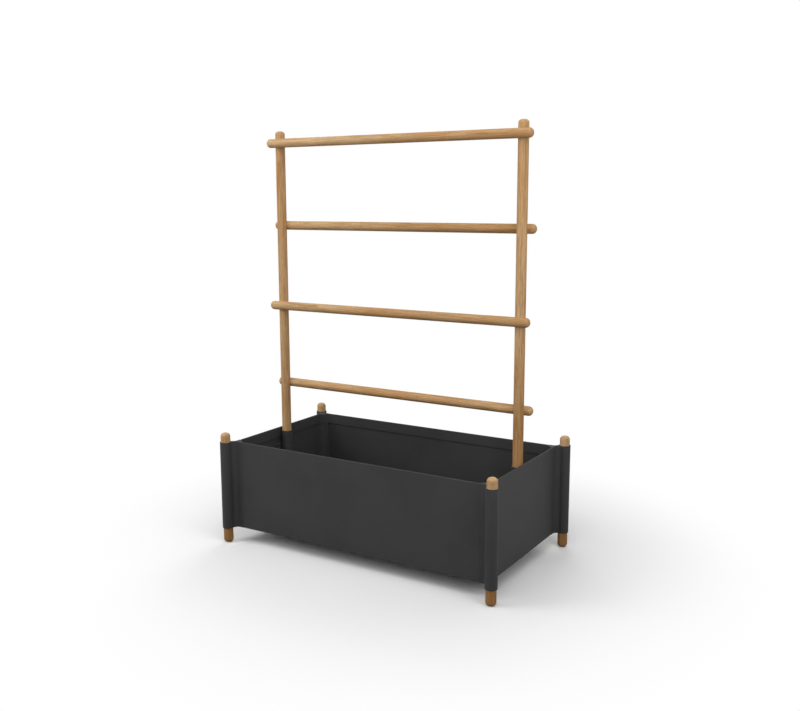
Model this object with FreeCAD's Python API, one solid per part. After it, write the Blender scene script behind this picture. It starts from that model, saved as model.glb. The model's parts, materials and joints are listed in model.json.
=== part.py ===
import FreeCAD
import Part

import math
import os

# Planter with trellis: a powder-coated aluminium box between four round teak sticks,
# with a lift-out ladder trellis of teak rods that stands in two sockets inside the short walls.
# Frame: +X to the right along the long side, +Y to the back, +Z up.
# Origin: on the ground, at the middle of the footprint. All sizes are in millimetres.

Vector = FreeCAD.Vector
UP = Vector(0, 0, 1)

# ---------------------------------------------------------------- driving dimensions
# corner sticks
stick_span_x = 920.0        # between the stick axes along the long side
stick_span_y = 504.0        # between the stick axes along the short side
stick_r = 15.0              # corner stick radius
stick_rise = 29.0           # top of a corner stick above the rim
stick_edge_r = 11.0         # rounding of the stick ends
stick_fit = 0.15            # radial clearance of a stick in its sleeve

# box
box_bottom = 47.1           # underside of the walls
box_top = 324.5             # top of the rim
wall_setback = 19.1         # stick axis to the outer face of the walls
sheet_t = 1.5               # wall sheet
bend_r = 2.5                # outer radius of every fold in the sheet
hem_t = 5.2                 # thickness of the hollow hem
hem_depth = 33.0            # height of the hem
flange_width = 25.0         # fold under the walls that carries the floor

# corner posts
sleeve_wall = 2.5           # wall of the round sleeve
neck_half_angle = 30.0      # half width of the neck where it meets the sleeve, in degrees
flare_start = 14.0          # where the concave flare leaves the wall plane
skin_t = 1.8                # skin of the flare and of the neck
leg_length = 26.0           # end of the leg, where the wall sheet begins
leg_lip_t = 1.5             # outer lip of the groove
groove_depth = 9.5          # how deep the wall's foot reaches into the leg
groove_slip = 0.2           # clearance on each face of the foot in its groove
groove_arm_t = 1.6          # inner lip of the groove
groove_root_t = 1.8         # web behind the groove
arm_setback = 1.0           # inner lip, shorter than the outer one
web_t = 1.8                 # diagonal web inside the corner
seam_gap = 0.2              # between the leg and the wall sheet
low_stick_screw = 70.0      # above the underside of the walls
high_stick_screw = 77.4     # under the rim
web_access_r = 4.8          # hole in the web for a stick screw
web_access_start = 4.0      # the wider hole begins this far behind the sleeve

# rim corner keys
key_proud = 2.8             # key face in front of the corner web
key_slip = 0.2              # clearance round the key
key_tongue_length = 30.0
key_tongue_root = 4.0       # how far a tongue reaches back into the key
key_tongue_height = 24.0
key_tongue_slip = 0.2       # clearance of a tongue in the hollow hem

# floor
rail_width = 30.0           # top of the hat section
rail_height = 20.0
rail_brim = 12.0
rail_t = 1.5
rail_bend_r = 2.4           # outer radius of the folds along its top
rail_count = 3
rail_pitch = 290.0
rail_end_gap = 1.0          # between the end of a rail and the skirt of the floor
floor_t = 2.0
floor_slip = 1.0            # gap between the floor and the walls
floor_edge_r = 3.0
drain_r = 6.0
drain_rows = 3
drain_row_pitch = 120.0
drain_columns = 6
drain_column_pitch = 145.0

# trellis
post_inset = 42.5           # trellis post axis, inwards from the stick axis
post_r = 15.0
post_edge_r = 10.0          # rounding of the post ends
post_top = 1280.0
rung_r = 13.8
rung_overhang = 36.0        # end of a rung beyond the post axis
rung_edge_r = 12.0
rung_offset = 16.5          # rung axis in front of or behind the post axis
rung_count = 4
top_rung_drop = 37.5        # from the top of the posts to the axis of the top rung
rung_pitch = 255.8
lap_slip = 0.1              # clearance on the round sides of each cross lap

# sockets
socket_wall = 2.57
socket_fit = 0.08           # radial running clearance of a post
mouth_below_rim = 10.0
socket_depth = 181.0        # mouth to floor
socket_floor_t = 3.0
socket_drain_r = 4.0
socket_mouth_chamfer = 0.6
post_rest_gap = 0.3         # seat clearance under a post

# saddles
saddle_width = 62.0
saddle_height = 100.0
saddle_t = 5.5
saddle_corner_r = 5.0
saddle_below_mouth = 44.0   # top of the saddle under the socket mouth
saddle_slip = 0.05
stud_r = 3.0
stud_length = 12.5
stud_chamfer = 0.6
stud_spacing_y = 44.0
stud_spacing_z = 60.0
stud_slip = 0.2
nut_af = 10.0
nut_height = 5.0

# clamp screws
clamp_r = 3.0
clamp_fit = 0.06
clamp_length = 3.9
clamp_chamfer = 0.3
clamp_below_mouth = 42.0
clamp_tip_gap = 0.25
clamp_hex_af = 3.0
clamp_hex_depth = 2.0

# wood screws through the cross laps
rung_screw_r = 2.2
rung_screw_length = 34.0
rung_screw_head_r = 4.2
rung_screw_head_h = 2.6
rung_screw_sink = 1.2
# screws that hold the corner sticks
stick_screw_r = 2.0
stick_screw_length = 15.0
stick_screw_head_r = 4.0
stick_screw_head_h = 2.4
# screws that hold the rails to the flanges
rail_screw_r = 2.0
rail_screw_length = 7.0
rail_screw_head_r = 3.8
rail_screw_head_h = 2.2
rail_screw_inset = 12.0     # from the outer face of the wall
screw_slip = 0.05           # radial clearance of a screw in its hole
screw_seat_gap = 0.05       # under the head of a stick screw
screw_hole_extra = 1.0      # a blind hole runs this much past the screw's point
screw_taper = 4.0           # length of the point
screw_point_r = 0.4
head_crown = 1.0            # bevel round the top of a pan head

# ---------------------------------------------------------------- derived sizes
sleeve_inner_r = stick_r + stick_fit
sleeve_r = sleeve_inner_r + sleeve_wall
wall_x = stick_span_x / 2 - wall_setback       # outer face of the short walls
wall_y = stick_span_y / 2 - wall_setback       # outer face of the long walls
box_height = box_top - box_bottom
stick_height = box_top + stick_rise            # foot to top
stick_screw_heights = (low_stick_screw, box_height - high_stick_screw)   # above the underside of the walls
hem_bottom = box_top - hem_depth
sheet_start = leg_length + seam_gap            # wall sheet begins here, from the box corner
foot_outer = leg_lip_t + groove_slip           # outer face of the foot in the groove
foot_inner = foot_outer + sheet_t
groove_inner = foot_inner + groove_slip
arm_inner = groove_inner + groove_arm_t
groove_end = leg_length - groove_depth         # root of the groove
root_inner = groove_end - groove_root_t
arm_end = leg_length - arm_setback
web_line = arm_end + arm_inner                 # u + v on the inner face of the web
key_line = web_line + key_proud * math.sqrt(2)
post_x = stick_span_x / 2 - post_inset
socket_inner_r = post_r + socket_fit
socket_r = socket_inner_r + socket_wall
socket_top = box_top - mouth_below_rim
socket_floor_top = socket_top - socket_depth
post_bottom = socket_floor_top + post_rest_gap
rail_bottom = box_bottom + sheet_t
floor_underside = rail_bottom + rail_height
saddle_top = socket_top - saddle_below_mouth
saddle_mid = saddle_top - saddle_height / 2
clamp_height = socket_top - clamp_below_mouth
rung_length = 2 * (post_x + rung_overhang)
rung_heights = [post_top - top_rung_drop - i * rung_pitch for i in range(rung_count)]
rung_sides = [-1 if i % 2 == 0 else 1 for i in range(rung_count)]

os.makedirs("parts", exist_ok=True)


# ---------------------------------------------------------------- helpers
def save(shape, name):
    """Write one node, with its faces merged where they lie in one surface."""
    clean = shape.removeSplitter()
    for solid in clean.Solids:
        assert solid.isValid(), name
    clean.exportStep("parts/" + name + ".step")
    print(name, len(clean.Solids), round(clean.Volume, 1))


def line(a, b):
    return Part.makeLine(a, b)


def arc(a, middle, b):
    return Part.Arc(a, middle, b).toShape()


def prism(edges, height):
    """Extrude a closed flat outline upwards."""
    wire = Part.Wire(Part.__sortEdges__(edges))
    return Part.Face(wire).extrude(UP * height)


def polygon_prism(points, z_low, height):
    corners = [Vector(u, v, z_low) for u, v in points]
    wire = Part.makePolygon(corners + [corners[0]])
    return Part.Face(wire).extrude(UP * height)


def block(x_low, x_high, y_low, y_high, z_low, z_high):
    return Part.makeBox(x_high - x_low, y_high - y_low, z_high - z_low, Vector(x_low, y_low, z_low))


def fuse(shapes):
    return shapes[0].multiFuse(shapes[1:]) if len(shapes) > 1 else shapes[0]


def quadrant(shape, side_x, side_y):
    """Place a shape drawn in corner coordinates (u, v inwards from the outer corner of the box)."""
    placed = shape.copy()
    if side_x > 0:
        placed = placed.mirror(Vector(0, 0, 0), Vector(1, 0, 0))
    if side_y > 0:
        placed = placed.mirror(Vector(0, 0, 0), Vector(0, 1, 0))
    placed.translate(Vector(side_x * wall_x, side_y * wall_y, 0))
    return placed


def rounded_rod(radius, length, edge_r):
    """A rod along +Z from the origin, with both ends rounded over."""
    rod = Part.makeCylinder(radius, length)
    ends = [e for e in rod.Edges if e.Curve.TypeId == "Part::GeomCircle"]
    return rod.makeFillet(edge_r, ends)


def wood_screw(radius, length, head_r, head_h, countersunk):
    """A screw along -Z with the top of its head at the origin plane."""
    if countersunk:
        head = Part.makeCone(radius, head_r, head_h, Vector(0, 0, -head_h))
    else:
        head = Part.makeCylinder(head_r, head_h - head_crown, Vector(0, 0, -head_h))
        head = head.fuse(Part.makeCone(head_r, head_r - head_crown, head_crown, Vector(0, 0, -head_crown)))
    shank_length = length - screw_taper
    shank = Part.makeCylinder(radius, shank_length, Vector(0, 0, -head_h - shank_length))
    tip = Part.makeCone(screw_point_r, radius, screw_taper, Vector(0, 0, -head_h - length))
    return fuse([head, shank, tip])


def aim(shape, place, direction):
    """Turn a shape drawn along +Z to a direction, and move it to its place."""
    turned = shape.copy()
    turned.Placement = FreeCAD.Placement(place, FreeCAD.Rotation(UP, direction))
    return turned


# ---------------------------------------------------------------- corner posts
# The section is drawn at one corner of the box: u and v run inwards along the two walls,
# and the stick stands outside, on the diagonal.
stick_centre = Vector(-wall_setback, -wall_setback, 0)
crease_angle = math.radians(45 - neck_half_angle)
crease = stick_centre + Vector(math.cos(crease_angle), math.sin(crease_angle), 0) * sleeve_r
flare_r = ((flare_start - crease.x) ** 2 + crease.y ** 2) / (-2 * crease.y)
flare_centre = Vector(flare_start, -flare_r, 0)


def swap(point):
    """Reflect a point across the diagonal of the corner."""
    return Vector(point.y, point.x, point.z)


def on_flare(radius, angle):
    return flare_centre + Vector(math.cos(angle), math.sin(angle), 0) * radius


def flare_arc(radius, end):
    """The concave flare from the wall plane to its end on the sleeve."""
    end_angle = math.atan2(end.y - flare_centre.y, end.x - flare_centre.x)
    middle = on_flare(radius, (math.pi / 2 + end_angle) / 2)
    return arc(on_flare(radius, math.pi / 2), middle, end)


def flare_meets_sleeve(radius, around):
    """Where a circle about the flare centre crosses a circle about the stick, on the neck side."""
    gap = stick_centre - flare_centre
    distance = gap.Length
    along = (distance ** 2 + radius ** 2 - around ** 2) / (2 * distance)
    across = math.sqrt(radius ** 2 - along ** 2)
    direction = gap / distance
    normal = Vector(direction.y, -direction.x, 0)
    points = [flare_centre + direction * along + normal * across * sign for sign in (1, -1)]
    return max(points, key=lambda point: point.x + point.y)


def mirrored(edges):
    """Edges reflected across the diagonal, drawn the same way as the originals."""
    result = []
    for edge in edges:
        ends = [swap(edge.valueAt(edge.FirstParameter)), swap(edge.valueAt(edge.LastParameter))]
        if edge.Curve.TypeId == "Part::GeomLine":
            result.append(line(ends[0], ends[1]))
        else:
            middle = swap(edge.valueAt((edge.FirstParameter + edge.LastParameter) / 2))
            result.append(arc(ends[0], middle, ends[1]))
    return result


def corner_skin_solid():
    """Outer outline: legs, flares and the wedge that runs into the sleeve."""
    half = [
        line(stick_centre, crease),
        flare_arc(flare_r, crease),
        line(Vector(flare_start, 0, 0), Vector(leg_length, 0, 0)),
        line(Vector(leg_length, 0, 0), Vector(leg_length, leg_lip_t, 0)),
        line(Vector(leg_length, leg_lip_t, 0), Vector(arm_end, leg_lip_t, 0)),
        line(Vector(arm_end, leg_lip_t, 0), Vector(arm_end, arm_inner, 0)),
    ]
    inner = line(Vector(arm_end, arm_inner, 0), Vector(arm_inner, arm_end, 0))
    return prism(half + mirrored(half) + [inner], box_height)


def corner_core():
    """The hollow inside the neck and behind the diagonal web."""
    core_r = flare_r + skin_t
    inner_end = flare_meets_sleeve(core_r, sleeve_r)
    web_core = web_line - web_t * math.sqrt(2)
    half = [
        flare_arc(core_r, inner_end),
        line(Vector(flare_start, skin_t, 0), Vector(root_inner, skin_t, 0)),
        line(Vector(root_inner, skin_t, 0), Vector(root_inner, arm_inner, 0)),
        line(Vector(root_inner, arm_inner, 0), Vector(web_core - arm_inner, arm_inner, 0)),
    ]
    web_face = line(Vector(web_core - arm_inner, arm_inner, 0), Vector(arm_inner, web_core - arm_inner, 0))
    diagonal = Vector(1, 1, 0) / math.sqrt(2)
    sleeve_face = arc(inner_end, stick_centre + diagonal * sleeve_r, swap(inner_end))
    return prism(half + mirrored(half) + [web_face, sleeve_face], box_height)


def corner_post():
    sleeve = Part.makeCylinder(sleeve_r, box_height, stick_centre)
    grooves = []
    for along_u in (True, False):
        low, high = (groove_end, leg_lip_t), (leg_length + 1, groove_inner)
        if not along_u:
            low, high = low[::-1], high[::-1]
        grooves.append(block(low[0], high[0], low[1], high[1], 0, box_height))
    post = corner_skin_solid().fuse(sleeve)
    post = post.cut(fuse([corner_core()] + grooves))
    post = post.cut(Part.makeCylinder(sleeve_inner_r, box_height, stick_centre))
    post.translate(UP * box_bottom)
    # the rim key takes the place of the web, roots and inner lips above the hem line
    key_room = [(leg_length + 1, leg_lip_t), (leg_length + 1, leg_length + 1), (leg_lip_t, leg_length + 1),
                (leg_lip_t, flare_start), (skin_t, flare_start), (skin_t, skin_t), (flare_start, skin_t),
                (flare_start, leg_lip_t)]
    post = post.cut(polygon_prism(key_room, hem_bottom, hem_depth + 1))
    # screw holes through the sleeve, and the wider holes that reach them through the web
    diagonal = Vector(1, 1, 0) / math.sqrt(2)
    for height in stick_screw_heights:
        centre = stick_centre + UP * (box_bottom + height)
        post = post.cut(Part.makeCylinder(stick_screw_r + screw_slip, sleeve_r + 1, centre, diagonal))
        outside = centre + diagonal * (sleeve_r + web_access_start)
        post = post.cut(Part.makeCylinder(web_access_r, leg_length, outside, diagonal))
    return post


def corner_stick():
    stick = rounded_rod(stick_r, stick_height, stick_edge_r)
    stick.translate(stick_centre)
    diagonal = Vector(1, 1, 0) / math.sqrt(2)
    for height in stick_screw_heights:
        tip = sleeve_r - stick_screw_length - screw_hole_extra
        start = stick_centre + diagonal * tip + UP * (box_bottom + height)
        stick = stick.cut(Part.makeCylinder(stick_screw_r + screw_slip, stick_r, start, diagonal))
    return stick


def rim_key():
    """Corner block of the rim, with a tongue into each hollow hem."""
    outer = leg_lip_t + key_slip
    core_r = flare_r + skin_t + key_slip
    neck = flare_meets_sleeve(core_r, sleeve_r + key_slip)
    start = Vector(flare_start, skin_t + key_slip, 0)
    end_angle = math.atan2(neck.y - flare_centre.y, neck.x - flare_centre.x)
    middle = on_flare(core_r, (math.pi / 2 + end_angle) / 2)
    key_end = key_line - hem_t - key_slip
    half = [
        arc(start, middle, neck),
        line(start, Vector(flare_start, outer, 0)),
        line(Vector(flare_start, outer, 0), Vector(leg_length, outer, 0)),
        line(Vector(leg_length, outer, 0), Vector(leg_length, hem_t + key_slip, 0)),
        line(Vector(leg_length, hem_t + key_slip, 0), Vector(key_end, hem_t + key_slip, 0)),
    ]
    face = line(Vector(key_end, hem_t + key_slip, 0), Vector(hem_t + key_slip, key_end, 0))
    diagonal = Vector(1, 1, 0) / math.sqrt(2)
    back = arc(neck, stick_centre + diagonal * (sleeve_r + key_slip), swap(neck))
    key = prism(half + mirrored(half) + [face, back], hem_depth)
    key.translate(UP * hem_bottom)
    front_edges = [e for e in key.Edges
                   if abs(e.BoundBox.ZMin - box_top) < 1e-6
                   and abs(e.CenterOfMass.x + e.CenterOfMass.y - key_line) < 1e-3]
    key = key.makeFillet(bend_r, front_edges)
    tongue_low = sheet_t + key_tongue_slip
    tongue_high = hem_t - sheet_t - key_tongue_slip
    tongue_z = hem_bottom + (hem_depth - key_tongue_height) / 2
    tongue_end = leg_length + key_tongue_length
    root = leg_length - key_tongue_root
    tongues = [
        block(root, tongue_end, tongue_low, tongue_high, tongue_z, tongue_z + key_tongue_height),
        block(tongue_low, tongue_high, root, tongue_end, tongue_z, tongue_z + key_tongue_height),
    ]
    return fuse([key] + tongues)


# ---------------------------------------------------------------- walls
def wall_profile():
    """Section of a wall: flange, sheet and hollow hem. Its outer face is at v = 0, inwards is +v."""
    z0, z1 = box_bottom, box_top
    inner_r = bend_r - sheet_t
    turn = math.sqrt(0.5)

    def p(v, z):
        return Vector(0, v, z)

    def fold(centre_v, centre_z, radius, from_v, from_z, to_v, to_z):
        """A quarter fold about its centre; the two signs of each end give its direction."""
        mid_v = centre_v + radius * turn * (from_v + to_v)
        mid_z = centre_z + radius * turn * (from_z + to_z)
        return arc(p(centre_v + radius * from_v, centre_z + radius * from_z), p(mid_v, mid_z),
                   p(centre_v + radius * to_v, centre_z + radius * to_z))

    low, high = z0 + bend_r, z1 - bend_r
    lip_v = hem_t - bend_r
    edges = [
        line(p(0, low), p(0, high)),
        fold(bend_r, high, bend_r, -1, 0, 0, 1),
        line(p(bend_r, z1), p(lip_v, z1)),
        fold(lip_v, high, bend_r, 0, 1, 1, 0),
        line(p(hem_t, high), p(hem_t, hem_bottom)),
        line(p(hem_t, hem_bottom), p(hem_t - sheet_t, hem_bottom)),
        line(p(hem_t - sheet_t, hem_bottom), p(hem_t - sheet_t, high)),
        fold(lip_v, high, inner_r, 1, 0, 0, 1),
        line(p(lip_v, z1 - sheet_t), p(bend_r, z1 - sheet_t)),
        fold(bend_r, high, inner_r, 0, 1, -1, 0),
        line(p(sheet_t, high), p(sheet_t, low)),
        fold(bend_r, low, inner_r, -1, 0, 0, -1),
        line(p(bend_r, z0 + sheet_t), p(flange_width, z0 + sheet_t)),
        line(p(flange_width, z0 + sheet_t), p(flange_width, z0)),
        line(p(flange_width, z0), p(bend_r, z0)),
        fold(bend_r, low, bend_r, 0, -1, -1, 0),
    ]
    return Part.Face(Part.Wire(Part.__sortEdges__(edges)))


def wall(half_length):
    """A wall along +X, centred, with its outer face at y = 0 and inwards +Y."""
    half_sheet = half_length - sheet_start
    profile = wall_profile()
    profile.translate(Vector(-half_sheet, 0, 0))
    panel = profile.extrude(Vector(2 * half_sheet, 0, 0))
    # the foot at each end steps inwards behind the leg of the corner post
    foot_reach = half_length - groove_end - seam_gap
    step = sheet_t
    foot_low, foot_high = box_bottom + bend_r, hem_bottom - seam_gap
    feet = []
    for side in (-1, 1):
        outline = [(half_sheet, foot_outer), (foot_reach, foot_outer), (foot_reach, foot_inner),
                   (half_sheet - step, foot_inner), (half_sheet - 2 * step, sheet_t),
                   (half_sheet - 2 * step, sheet_t / 2), (half_sheet, sheet_t / 2)]
        points = [(side * u, v) for u, v in outline]
        feet.append(polygon_prism(points, foot_low, foot_high - foot_low))
    return fuse([panel] + feet)


def studs_for_saddle():
    """Weld studs on the inner face of a short wall, drawn for a wall along +X."""
    studs = []
    for y in (-stud_spacing_y / 2, stud_spacing_y / 2):
        for z in (saddle_mid - stud_spacing_z / 2, saddle_mid + stud_spacing_z / 2):
            start = Vector(y, sheet_t / 2, z)
            stud = Part.makeCylinder(stud_r, stud_length + sheet_t / 2, start, Vector(0, 1, 0))
            tip = [e for e in stud.Edges
                   if e.Curve.TypeId == "Part::GeomCircle" and e.BoundBox.YMin > stud_length]
            studs.append(stud.makeChamfer(stud_chamfer, tip))
    return studs


def rail_xs():
    return [(i - (rail_count - 1) / 2) * rail_pitch for i in range(rail_count)]


def flange_screw_holes(side):
    """Clearance holes in a long wall's flange under the brims of the rails."""
    holes = []
    for x, y in rail_screw_places(side):
        holes.append(Part.makeCylinder(rail_screw_r + screw_slip, sheet_t + 2, Vector(x, y, box_bottom - 1)))
    return holes


def rail_screw_places(side):
    offset = rail_width / 2 + rail_brim / 2
    y = side * (wall_y - rail_screw_inset)
    return [(x + shift, y) for x in rail_xs() for shift in (-offset, offset)]


def turned(shape, angle, x, y):
    placed = shape.copy()
    placed.rotate(Vector(0, 0, 0), UP, angle)
    placed.translate(Vector(x, y, 0))
    return placed


# ---------------------------------------------------------------- floor
def floor_rail(x):
    """Hat section, open below, from front to back."""
    half_top = rail_width / 2
    half_brim = half_top + rail_brim
    h, t = rail_height, rail_t
    outline = [(-half_brim, 0), (-half_top + t, 0), (-half_top + t, h - t), (half_top - t, h - t),
               (half_top - t, 0), (half_brim, 0), (half_brim, t), (half_top, t), (half_top, h),
               (-half_top, h), (-half_top, t), (-half_brim, t)]
    half_length = wall_y - sheet_t - floor_slip - floor_t - rail_end_gap
    corners = [Vector(u, -half_length, v) for u, v in outline]
    face = Part.Face(Part.makePolygon(corners + [corners[0]]))
    rail = face.extrude(Vector(0, 2 * half_length, 0))
    folds = [e for e in rail.Edges
             if abs(abs(e.CenterOfMass.x) - half_top) < 1e-6
             and abs(e.CenterOfMass.z - h) < 1e-6 and e.Length > half_length]
    rail = rail.makeFillet(rail_bend_r, folds)
    rail.translate(Vector(x, 0, rail_bottom))
    for side in (-1, 1):
        for hole_x, hole_y in rail_screw_places(side):
            if abs(hole_x - x) < half_brim:
                low = Vector(hole_x, hole_y, rail_bottom - 1)
                rail = rail.cut(Part.makeCylinder(rail_screw_r + screw_slip, t + 2, low))
    return rail


def floor_outline(inset):
    """Plan of the floor: a rectangle with cut corners that clear the webs of the corner posts."""
    half_x = wall_x - sheet_t - floor_slip - inset
    half_y = wall_y - sheet_t - floor_slip - inset
    cut = web_line + floor_slip * math.sqrt(2) - 2 * (sheet_t + floor_slip) + inset * (math.sqrt(2) - 2)
    return [(-half_x + cut, -half_y), (half_x - cut, -half_y), (half_x, -half_y + cut), (half_x, half_y - cut),
            (half_x - cut, half_y), (-half_x + cut, half_y), (-half_x, half_y - cut), (-half_x, -half_y + cut)]


def floor_plate():
    height = rail_height + floor_t
    plate = polygon_prism(floor_outline(0), rail_bottom, height)
    top = rail_bottom + height
    rim = [e for e in plate.Edges if abs(e.BoundBox.ZMin - top) < 1e-6]
    plate = plate.makeFillet(floor_edge_r, rim)
    plate = plate.cut(polygon_prism(floor_outline(floor_t), rail_bottom - 1, rail_height + 1))
    holes = []
    for i in range(drain_columns):
        for j in range(drain_rows):
            x = (i - (drain_columns - 1) / 2) * drain_column_pitch
            y = (j - (drain_rows - 1) / 2) * drain_row_pitch
            holes.append(Part.makeCylinder(drain_r, floor_t + 2, Vector(x, y, floor_underside - 1)))
    return plate.cut(fuse(holes))


# ---------------------------------------------------------------- trellis
def rung_y(i):
    return rung_sides[i] * rung_offset


def rung_cylinder(i, radius):
    start = Vector(-rung_length / 2, rung_y(i), rung_heights[i])
    return Part.makeCylinder(radius, rung_length, start, Vector(1, 0, 0))


def lap_plane(i):
    """Where the flat faces of a post and a rung meet, halfway through their overlap."""
    post_face = rung_sides[i] * post_r
    rung_face = rung_y(i) - rung_sides[i] * rung_r
    return (post_face + rung_face) / 2


def beyond_lap(i, outside):
    """Half space at a rung's lap plane: outside holds the rung, inside holds the post."""
    plane = lap_plane(i)
    reach = rung_offset + rung_r + post_r
    far = rung_sides[i] * reach if outside else -rung_sides[i] * reach
    low, high = min(plane, far), max(plane, far)
    z = rung_heights[i]
    half_z = rung_r * 2
    return block(-rung_length, rung_length, low, high, z - half_z, z + half_z)


def rung_screw_axis(i, side):
    """Head place of a rung screw. Every screw goes in from behind, along -Y."""
    back = post_r if rung_sides[i] < 0 else rung_y(i) + rung_r
    return Vector(side * post_x, back - rung_screw_sink, rung_heights[i])


def rung_screw_hole(i, side):
    head = rung_screw_axis(i, side)
    forward = Vector(0, -1, 0)
    reach = rung_screw_length + rung_screw_head_h + screw_hole_extra
    shank = Part.makeCylinder(rung_screw_r + screw_slip, reach, head, forward)
    mouth_low = head + forward * rung_screw_head_h
    sink = Part.makeCone(rung_screw_r + screw_slip, rung_screw_head_r + screw_slip, rung_screw_head_h,
                         mouth_low, Vector(0, 1, 0))
    mouth = Part.makeCylinder(rung_screw_head_r + screw_slip, rung_screw_sink + 1, head, Vector(0, 1, 0))
    return fuse([shank, sink, mouth])


def trellis_post(side):
    post = rounded_rod(post_r, post_top - post_bottom, post_edge_r)
    post.translate(Vector(side * post_x, 0, post_bottom))
    for i in range(rung_count):
        seat = rung_cylinder(i, rung_r + lap_slip).common(beyond_lap(i, True))
        post = post.cut(seat)
        post = post.cut(rung_screw_hole(i, side))
    return post


def trellis_rung(i):
    rod = rounded_rod(rung_r, rung_length, rung_edge_r)
    rung = aim(rod, Vector(-rung_length / 2, rung_y(i), rung_heights[i]), Vector(1, 0, 0))
    for side in (-1, 1):
        z = rung_heights[i] - rung_r * 2
        post = Part.makeCylinder(post_r + lap_slip, rung_r * 4, Vector(side * post_x, 0, z))
        rung = rung.cut(post.common(beyond_lap(i, False)))
        rung = rung.cut(rung_screw_hole(i, side))
    return rung


# ---------------------------------------------------------------- sockets
def clamp_direction(side):
    return Vector(-side, 0, 0)


def clamp_place(side):
    """Inner end of a clamp screw, just off the post."""
    return Vector(side * post_x, 0, clamp_height) + clamp_direction(side) * (post_r + clamp_tip_gap)


def socket(side):
    base = Vector(side * post_x, 0, socket_floor_top - socket_floor_t)
    tube = Part.makeCylinder(socket_r, socket_depth + socket_floor_t, base)
    bore = Part.makeCylinder(socket_inner_r, socket_depth + 1, base + UP * socket_floor_t)
    drain = Part.makeCylinder(socket_drain_r, socket_floor_t + 2, base - UP)
    tube = tube.cut(bore).cut(drain)
    mouth = [e for e in tube.Edges
             if e.Curve.TypeId == "Part::GeomCircle" and abs(e.BoundBox.ZMin - socket_top) < 1e-6]
    tube = tube.makeChamfer(socket_mouth_chamfer, mouth)
    start = Vector(side * post_x, 0, clamp_height)
    return tube.cut(Part.makeCylinder(clamp_r + clamp_fit, socket_r + 1, start, clamp_direction(side)))


def clamp_screw(side):
    screw = Part.makeCylinder(clamp_r, clamp_length)
    ends = [e for e in screw.Edges if e.Curve.TypeId == "Part::GeomCircle"]
    screw = screw.makeChamfer(clamp_chamfer, ends)
    radius = clamp_hex_af / math.sqrt(3)
    corners = [Vector(radius * math.cos(math.radians(60 * k)), radius * math.sin(math.radians(60 * k)),
                      clamp_length - clamp_hex_depth) for k in range(6)]
    recess = Part.Face(Part.makePolygon(corners + [corners[0]])).extrude(UP * (clamp_hex_depth + 1))
    return aim(screw.cut(recess), clamp_place(side), clamp_direction(side))


def saddle(side):
    """Block between a socket and the short wall, hollowed to the round of the tube."""
    inner_face = wall_x - sheet_t
    face = inner_face - saddle_t
    half = saddle_width / 2
    x_low, x_high = sorted((side * face, side * inner_face))
    plate = block(x_low, x_high, -half, half, saddle_top - saddle_height, saddle_top)
    corners = [e for e in plate.Edges
               if e.BoundBox.XLength > saddle_t - 1e-3 and e.BoundBox.YLength < 1e-3]
    plate = plate.makeFillet(saddle_corner_r, corners)
    low = Vector(side * post_x, 0, saddle_top - saddle_height - 1)
    plate = plate.cut(Part.makeCylinder(socket_r + saddle_slip, saddle_height + 2, low))
    for y, z in stud_places():
        start = Vector(side * (face - 1), y, z)
        plate = plate.cut(Part.makeCylinder(stud_r + stud_slip, saddle_t + 2, start, Vector(side, 0, 0)))
    return plate


def stud_places():
    return [(y, z) for y in (-stud_spacing_y / 2, stud_spacing_y / 2)
            for z in (saddle_mid - stud_spacing_z / 2, saddle_mid + stud_spacing_z / 2)]


def saddle_nut(side, y, z):
    radius = nut_af / math.sqrt(3)
    corners = [Vector(radius * math.cos(math.radians(60 * k)), radius * math.sin(math.radians(60 * k)), 0)
               for k in range(6)]
    nut = Part.Face(Part.makePolygon(corners + [corners[0]])).extrude(UP * nut_height)
    nut = nut.cut(Part.makeCylinder(stud_r + screw_slip, nut_height + 2, Vector(0, 0, -1)))
    face = wall_x - sheet_t - saddle_t
    return aim(nut, Vector(side * face, y, z), Vector(-side, 0, 0))


# ---------------------------------------------------------------- build
CORNERS = {"front_left": (-1, -1), "front_right": (1, -1), "back_left": (-1, 1), "back_right": (1, 1)}
SIDES = {"left": -1, "right": 1}

post_shape = corner_post()
stick_shape = corner_stick()
key_shape = rim_key()
diagonal_in = Vector(1, 1, 0) / math.sqrt(2)
stick_screw = wood_screw(stick_screw_r, stick_screw_length, stick_screw_head_r, stick_screw_head_h, False)
stick_screws = []
for name, (side_x, side_y) in CORNERS.items():
    save(quadrant(post_shape, side_x, side_y), "corner_post_" + name)
    save(quadrant(stick_shape, side_x, side_y), "corner_stick_" + name)
    save(quadrant(key_shape, side_x, side_y), "rim_key_" + name)
    for height in stick_screw_heights:
        head_top = stick_centre + diagonal_in * (sleeve_r + stick_screw_head_h + screw_seat_gap)
        placed = aim(stick_screw, head_top + UP * (box_bottom + height), diagonal_in)
        stick_screws.append(quadrant(placed, side_x, side_y))
save(Part.Compound(stick_screws), "stick_screws")

long_wall = wall(wall_x)
save(turned(long_wall, 0, 0, -wall_y).cut(fuse(flange_screw_holes(-1))), "wall_front")
save(turned(long_wall, 180, 0, wall_y).cut(fuse(flange_screw_holes(1))), "wall_back")
short_wall = fuse([wall(wall_y)] + studs_for_saddle())
save(turned(short_wall, -90, -wall_x, 0), "wall_left")
save(turned(short_wall, 90, wall_x, 0), "wall_right")

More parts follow.
